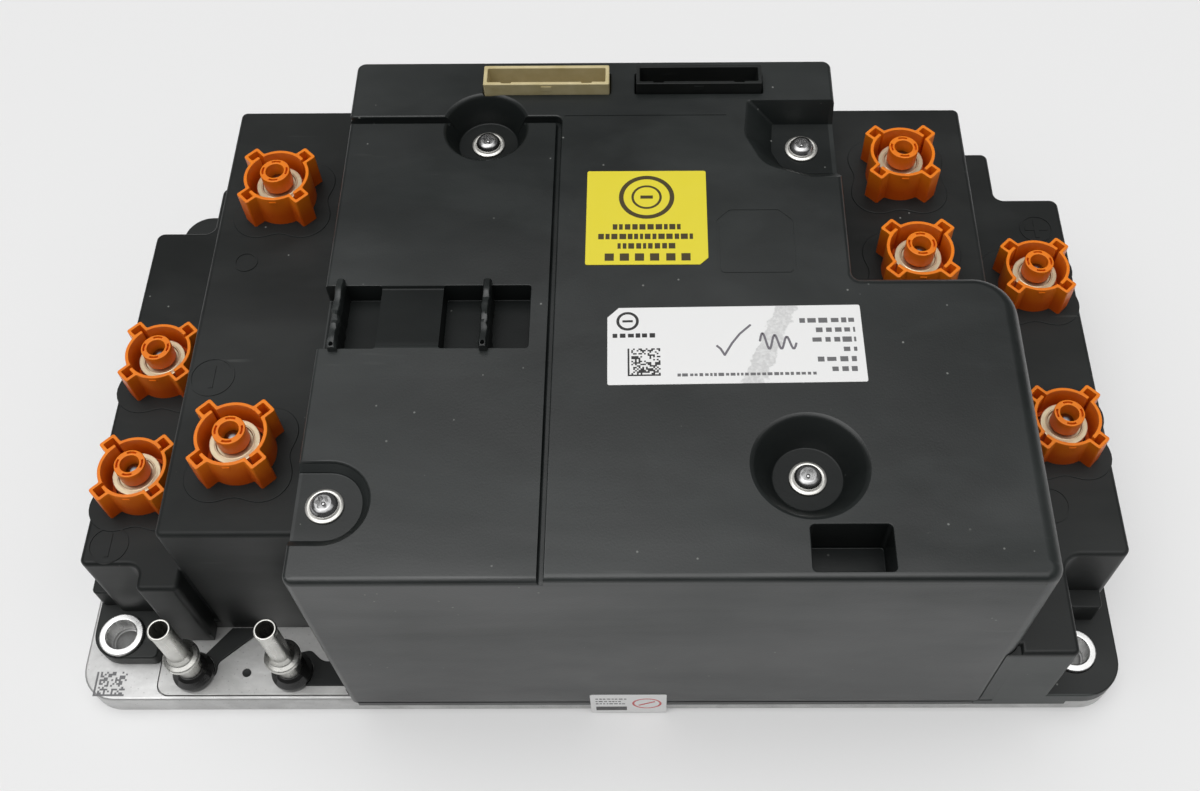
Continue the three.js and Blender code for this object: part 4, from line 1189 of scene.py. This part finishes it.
def contact_ring(foot):
    """The plated contact on its pedestal: a bead round its inner edge and a recess under the sleeve."""
    top = CONTACT_TOP
    return turned("contact", [
        (0, foot), (8.9, foot, 0.3), (8.9, top - 0.15, 0.35), (7.1, top - 0.15, 0.1), (6.9, top, 0.1),
        (6.6, top, 0.1), (6.4, top - 0.2, 0.1), (6.4, top - 0.8, 0.2), (2.7, top - 0.8), (0, top - 0.8),
    ], 72)


def post():
    """The stud's threaded end with a polished dome."""
    pitch, low, high = 0.5, CONTACT_TOP - 0.75, 11.4
    profile = [(0, low), (2.95, low)]
    for k in range(int((high - low) / pitch)):
        z = low + pitch * (k + 0.5)
        profile += [(2.95, z), (2.65, z + pitch / 2)]
    profile += [(2.9, high + 0.3, 0.2), (2.8, 12.4, 0.4), (1.7, 13.4, 1.2), (0, 13.75)]
    return turned("post", profile, 56)


def make_terminals():
    guard, sleeve, stud = make_guard(), make_sleeve(), post()
    dress(guard, ORANGE, "orange_plastic")
    dress(sleeve, ORANGE, "orange_plastic")
    dress(stud, POST_STEEL, "bright_steel")
    for i, (place, foot) in enumerate(zip(TERMINALS, TERMINAL_FEET), 1):
        at = (place.x, place.y, foot)
        copied(guard, f"guard_{i}", *at, [f"terminal_guard_{i}"])
        copied(sleeve, f"sleeve_{i}", *at, [f"terminal_sleeve_{i}"])
        copied(stud, f"stud_post_{i}", *at)
        disc = contact_ring(span(f"terminal_stud_{i}")[0].z - foot)
        disc.name = f"stud_contact_{i}"
        dress(moved(disc, *at), CONTACT, "tin_contact", [f"terminal_stud_{i}"])
    discard(guard, sleeve, stud)


make_terminals()


# ---------------------------------------------------------------- signal headers

def make_header(name, look, slot):
    """A shrouded pin header: rounded rim, two key notches inside the front wall, two rows of pins."""
    node = f"header_socket_{name}"
    low, high = span(node)
    wall, floor = 1.5, 112
    middle_x = (low.x + high.x) / 2
    half = (high.x - low.x) / 2
    shroud = block(f"header_{name}_shroud", rectangle(low.x, high.x, low.y, high.y, 0.6), low.z, high.z, 0.35)
    dash = (middle_x - 2, middle_x + 2, low.y - 0.28, low.y + 0.5, COVER_TOP + 1.6, high.z - 1.2)
    combine(shroud, [cuboid("dash", *dash)], "UNION")
    inside = rectangle(low.x + wall, high.x - wall, low.y + wall, high.y - wall, 0.5)
    cuts = [room("cavity", inside, floor, high.z, 0, 0.35, 0.2, 0.3)]
    for side in (-0.64, 0.64):
        at = middle_x + side * half
        key = rectangle(at - 2, at + 2, low.y + wall - 0.7, low.y + wall + 1, 0.2)
        cuts.append(room("key", key, high.z - 6, high.z, 0, 0.15, 0.1, 0.1))
    dress(combine(shroud, cuts), look, slot, [node])
    pins = []
    for column in range(-7, 8):
        for row in (-1, 1):
            x, y = middle_x + column * 2.8, (low.y + high.y) / 2 + row * 1.4
            pin = block("pin", rectangle(-0.32, 0.32, -0.32, 0.32), floor + 0.02, floor + 9, 0.2)
            pins.append(moved(pin, x, y))
    dress(joined_mesh(f"header_{name}_pins", pins), CONTACT, "tin_contact")


def joined_mesh(name, parts):
    """One piece holding the meshes of several separate bodies."""
    whole = bmesh.new()
    for part in parts:
        whole.from_mesh(part.data)
        bpy.data.objects.remove(part)
    mesh = bpy.data.meshes.new(name)
    whole.to_mesh(mesh)
    whole.free()
    return added(name, mesh)


make_header("cream", CREAM, "cream_plastic")
make_header("black", BLACK, "black_plastic")


# ---------------------------------------------------------------- labels

STICKER = 0.22
PRINT = 0.02
PRINTED = (STICKER - 0.01, STICKER + PRINT)


def label_base(name, width, height, clip, clip_left):
    x, y = width / 2, height / 2
    if clip_left:
        corners = [(-x, -y, 0.8), (x, -y, 0.8), (x, y, 0.8), (-x + clip, y, 0.3), (-x, y - clip, 0.3)]
    else:
        corners = [(-x, -y, 0.8), (x - clip, -y, 0.3), (x, -y + clip, 0.3), (x, y, 0.8), (-x, y, 0.8)]
    return block(name, corners, 0, STICKER, 0.06)


def bar(x, y, width, height, turn=0.0):
    corners = rectangle(-width / 2, width / 2, -height / 2, height / 2)
    return moved(prism("bar", corners, *PRINTED), x, y, 0, turn)


def hoop(x, y, radius, width):
    return flat_ring("hoop", circle(x, y, radius), circle(x, y, radius - width), *PRINTED)


def dashes(x, y, width, height, seed):
    """A printed line of unreadable short blocks."""
    rng = random.Random(seed)
    marks, at = [], x
    while at < x + width - 0.3 * height:
        long = min(rng.uniform(0.6, 1.5) * height, x + width - at)
        marks.append(bar(at + long / 2, y, long, height * rng.uniform(0.75, 1)))
        at += long + height * rng.uniform(0.3, 0.6)
    return marks


def blocks(x, y, width, height, seed):
    """A printed line of bold blocks, centred on x: a stand-in for large type."""
    rng = random.Random(seed)
    marks, at = [], x - width / 2
    while at < x + width / 2 - 1:
        long = min(rng.uniform(1.1, 2.6), x + width / 2 - at)
        marks.append(bar(at + long / 2, y, long, height))
        at += long + rng.uniform(0.55, 0.8)
    return marks


def stroke(points, width):
    """A flat pen line through the points, drawn as overlapping short bars with round joints."""
    marks = []
    for k, (start, end) in enumerate(zip(points, points[1:])):
        run = Vector(end) - Vector(start)
        turn = math.degrees(math.atan2(run.y, run.x))
        low, high = PRINTED
        reach = run.length / 2 + width / 3
        corners = rectangle(-reach, reach, -width / 2, width / 2, width / 3)
        line = prism("bar", corners, low, high + 0.0004 * (k % 2))
        marks.append(moved(line, (start[0] + end[0]) / 2, (start[1] + end[1]) / 2, 0, turn))
    return marks


def wave(x, y, length, height, humps):
    """Points along a wavy line from x, y, a little lower at its end."""
    count = 10 * humps
    points = []
    for k in range(count + 1):
        share = k / count
        rise = height * (1 - 0.35 * share) * math.sin(2 * math.pi * humps * share)
        points.append((x + length * share, y + rise - 1.2 * share))
    return points


def code_patch(x, y, cell, across, up, seed):
    """A square patch of random dark cells with a solid edge on two sides."""
    rng = random.Random(seed)
    marks = []
    for row in range(up):
        column = 0
        while column < across:
            run = 0
            while column + run < across and (column == 0 or row == 0 or rng.random() < 0.5):
                run += 1
                if column == 0 and row:
                    break
            if run:
                centre = x + (column + run / 2) * cell
                marks.append(bar(centre, y + (row + 0.5) * cell, run * cell, cell * 0.98))
            column += run + 1
    return marks


def placed(made, x, y, z, turn=0.0, upright=False):
    tilt = Matrix.Rotation(math.pi / 2, 4, "X") if upright else Matrix.Identity(4)
    spin = Matrix.Rotation(turn, 4, "Z")
    made.data.transform(Matrix.Translation((x, y, z)) @ spin @ tilt)
    return made


def make_label(name, base, look, slot, prints, place):
    dress(placed(base, **place), look, slot, [name])
    for suffix, ink, marks in prints:
        dress(placed(joined_mesh(f"{name}_{suffix}", marks), **place), ink, slot)


def make_labels():
    yellow = middle("hazard_label")
    white = middle("data_label")
    seal = middle("seal_label")
    on_cover = COVER_TOP + 0.05
    lines = blocks(0, -4.7, 24.6, 2.5, 41) + blocks(0, -9.1, 35, 2.5, 42) + blocks(0, -13.4, 21, 2.5, 43)
    squares = [bar(x, -18.4, 3.3, 3.3) for x in (-13.4, -8.0, -2.6, 2.8, 8.6, 14.0)]
    signs = [hoop(0, 9.2, 10.2, 1.7), hoop(0, 9.2, 5.6, 0.9), bar(0, 9.2, 4.6, 1.5)]
    base = label_base("hazard_label_film", 44, 43.5, 3, False)
    place = {"x": yellow.x, "y": yellow.y, "z": on_cover}
    prints = [("print", BROWN_INK, lines + squares + signs)]
    make_label("hazard_label", base, YELLOW, "yellow_label", prints, place)

    rows = []
    for row, width in enumerate((18.9, 13.5, 15, 4.6, 13.8, 9.2)):
        rows += dashes(41.4 - width, 9.4 - row * 4.0, width, 2.2, 60 + row)
    serial = dashes(-20.2, -12.2, 47, 1.3, 71)
    code = code_patch(-37.0, -12.4, 0.62, 18, 18, 72)
    emblem = [hoop(-36.9, 10.1, 3.9, 1.0), bar(-36.9, 10.1, 3.6, 0.9), *dashes(-42.1, 4.1, 15.6, 1.9, 73)]
    tick = stroke([(-6.4, -0.6), (-5.2, -1.8), (-3.9, -4.4), (-1.2, 0.4), (1.6, 4.2), (5.4, 7.8)], 0.8)
    line = stroke(wave(8.4, 1.2, 12.4, 3.4, 3), 0.8)
    base = label_base("data_label_film", 87.8, 31.6, 4, True)
    place = {"x": white.x, "y": white.y, "z": on_cover, "turn": 0.012}
    prints = [("print", INK, code + emblem), ("rows", PALE_INK, rows + serial), ("pen", PEN_INK, tick + line)]
    make_label("data_label", base, RUBBED_WHITE, "white_label", prints, place)

    base = label_base("seal_label_film", 29, 20, 0.8, True)
    marks = []
    for y, width, seed in ((5.6, 12, 81), (2.8, 10, 82), (0.2, 11.5, 83)):
        marks += dashes(-12.5, y, width, 1.0, seed)
    marks.append(bar(-6.6, -5.2, 11.8, 4.2))
    stamp = [hoop(7.0, 0.5, 5.6, 0.8), bar(7.0, 0.5, 7.6, 1.0, 35)]
    place = {"x": seal.x, "y": span("seal_label")[1].y, "z": seal.z, "upright": True}
    prints = [("print", INK, marks), ("stamp", RED_INK, stamp)]
    make_label("seal_label", base, WHITE, "white_label", prints, place)


def make_plate_code():
    """A random dot patch etched into the cooling plate beside the lid."""
    marks = code_patch(0, 0, 0.75, 16, 13, 91)
    patch = joined_mesh("plate_code_patch", marks)
    patch.data.transform(Matrix.Translation((-194.5, deep(1.6), PLATE_TOP - STICKER + 0.005)))
    dress(patch, PALE_INK, "cast_aluminium")


make_labels()
make_plate_code()


# ---------------------------------------------------------------- return springs of the contactors

SPRING_WIRE = 0.6
SPRING_TURNS = 5


def make_spring(side):
    """A wire spring with closed end coils."""
    node, joint = f"contactor_spring_{side}", f"contactor_{side}_close"
    (low, high), centre = span(node), middle(node)
    radius = (high.x - low.x) / 2 - SPRING_WIRE
    per_turn, around, closed = 28, 12, 2 * SPRING_WIRE + 0.1
    free = (high.z - low.z - 2 * SPRING_WIRE - 2 * closed) / (SPRING_TURNS - 2)
    upright = Vector((0, 0, 1))
    spot = Vector((centre.x, centre.y, low.z + SPRING_WIRE))
    rings = []
    for k in range(SPRING_TURNS * per_turn + 1):
        turn = k / per_turn
        angle = 2 * math.pi * turn
        out = Vector((math.cos(angle), math.sin(angle), 0))
        heart = spot + out * radius
        wire = []
        for j in range(around):
            across = 2 * math.pi * j / around
            wire.append(tuple(heart + (out * math.cos(across) + upright * math.sin(across)) * SPRING_WIRE))
        rings.append(wire)
        rise = free if per_turn <= k < (SPRING_TURNS - 1) * per_turn else closed
        spot = spot + upright * (rise / per_turn)
    spring = dress(loft(f"{node}_wire", rings), BRIGHT_STEEL, "bright_steel", [node])
    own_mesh(spring)


for side in "ab":
    make_spring(side)


# ---------------------------------------------------------------- inner pieces that stay as the CAD has them

INNER_LOOKS = {
    "busbar": (COPPER, "copper"),
    "current_shunt": (COPPER, "copper"),
    "contactor_bridge": (COPPER, "copper"),
    "contactor_case": (GREY, "grey_plastic"),
    "pyro_fuse": (GREY, "grey_plastic"),
    "precharge_relay": (GREY, "grey_plastic"),
    "control_board": (BOARD, "board_green"),
    "carrier_frame": (BLACK, "black_plastic"),
    "housing_seal": (RUBBER, "seal_rubber"),
}


def dress_inner_pieces():
    for start, (look, slot) in INNER_LOOKS.items():
        for name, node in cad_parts.items():
            if name.startswith(start):
                node.data.materials.clear()
                node.data.materials.append(look)
                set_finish(node, slot)


dress_inner_pieces()


# ---------------------------------------------------------------- floor, light and picture

FLOOR_REACH, FLOOR_GLOW = 6, 0.17


def make_floor():
    mesh = bpy.data.meshes.new("floor")
    corners = [(*corner[:2], 0) for corner in rectangle(-FLOOR_REACH, FLOOR_REACH, -FLOOR_REACH, FLOOR_REACH)]
    mesh.from_pydata(corners, [], [(0, 1, 2, 3)])
    floor = added("floor", mesh)
    look = Look("pale_floor", (0.7, 0.7, 0.7), 0.8, specular=0.1)
    look.set("Emission Color", (1, 1, 1, 1))
    look.set("Emission Strength", FLOOR_GLOW)
    mesh.materials.append(look.material)


def add_light(name, place, target, size, power):
    light = bpy.data.lights.new(name, "AREA")
    light.shape = "RECTANGLE"
    light.size, light.size_y = size
    light.energy = power
    made = added(name, light)
    made.location = place
    made.rotation_euler = (Vector(target) - Vector(place)).to_track_quat("-Z", "Y").to_euler()


SKY_AXIS = (-0.09, -0.03, 0.995)
# How bright the sky is by how closely a direction follows its axis.
SKY = ((0.0, 0.037), (0.6, 0.031), (0.7, 0.04), (0.79, 0.19), (0.89, 0.46), (0.96, 0.88), (1.0, 1.0))
SKY_STRENGTH = 3.4


def make_sky():
    """A soft light overhead that fades towards the horizon."""
    world = bpy.data.worlds.new("soft_sky")
    world.use_nodes = True
    tree = world.node_tree
    direction = tree.nodes.new("ShaderNodeTexCoord").outputs["Generated"]
    near = tree.nodes.new("ShaderNodeVectorMath")
    near.operation = "DOT_PRODUCT"
    near.inputs[1].default_value = SKY_AXIS
    tree.links.new(direction, near.inputs[0])
    ramp = tree.nodes.new("ShaderNodeValToRGB")
    ramp.color_ramp.interpolation = "EASE"
    while len(ramp.color_ramp.elements) < len(SKY):
        ramp.color_ramp.elements.new(0.5)
    for element, (place, value) in zip(ramp.color_ramp.elements, SKY):
        element.position = place
        element.color = (value, value, value, 1)
    tree.links.new(near.outputs["Value"], ramp.inputs["Fac"])
    background = tree.nodes["Background"]
    background.inputs["Strength"].default_value = SKY_STRENGTH
    tree.links.new(ramp.outputs["Color"], background.inputs["Color"])
    bpy.context.scene.world = world


def set_scene():
    make_floor()
    make_sky()
    bpy.context.scene.view_settings.view_transform = "Standard"
    bpy.context.scene.view_settings.look = "None"
    target, size = (0, 0, 0.05), (1.0, 0.8)
    add_light("left_light", (-0.9, -0.5, 1.3), target, size, 2.6)
    add_light("right_light", (0.9, -0.3, 1.3), target, size, 1.8)


set_scene()
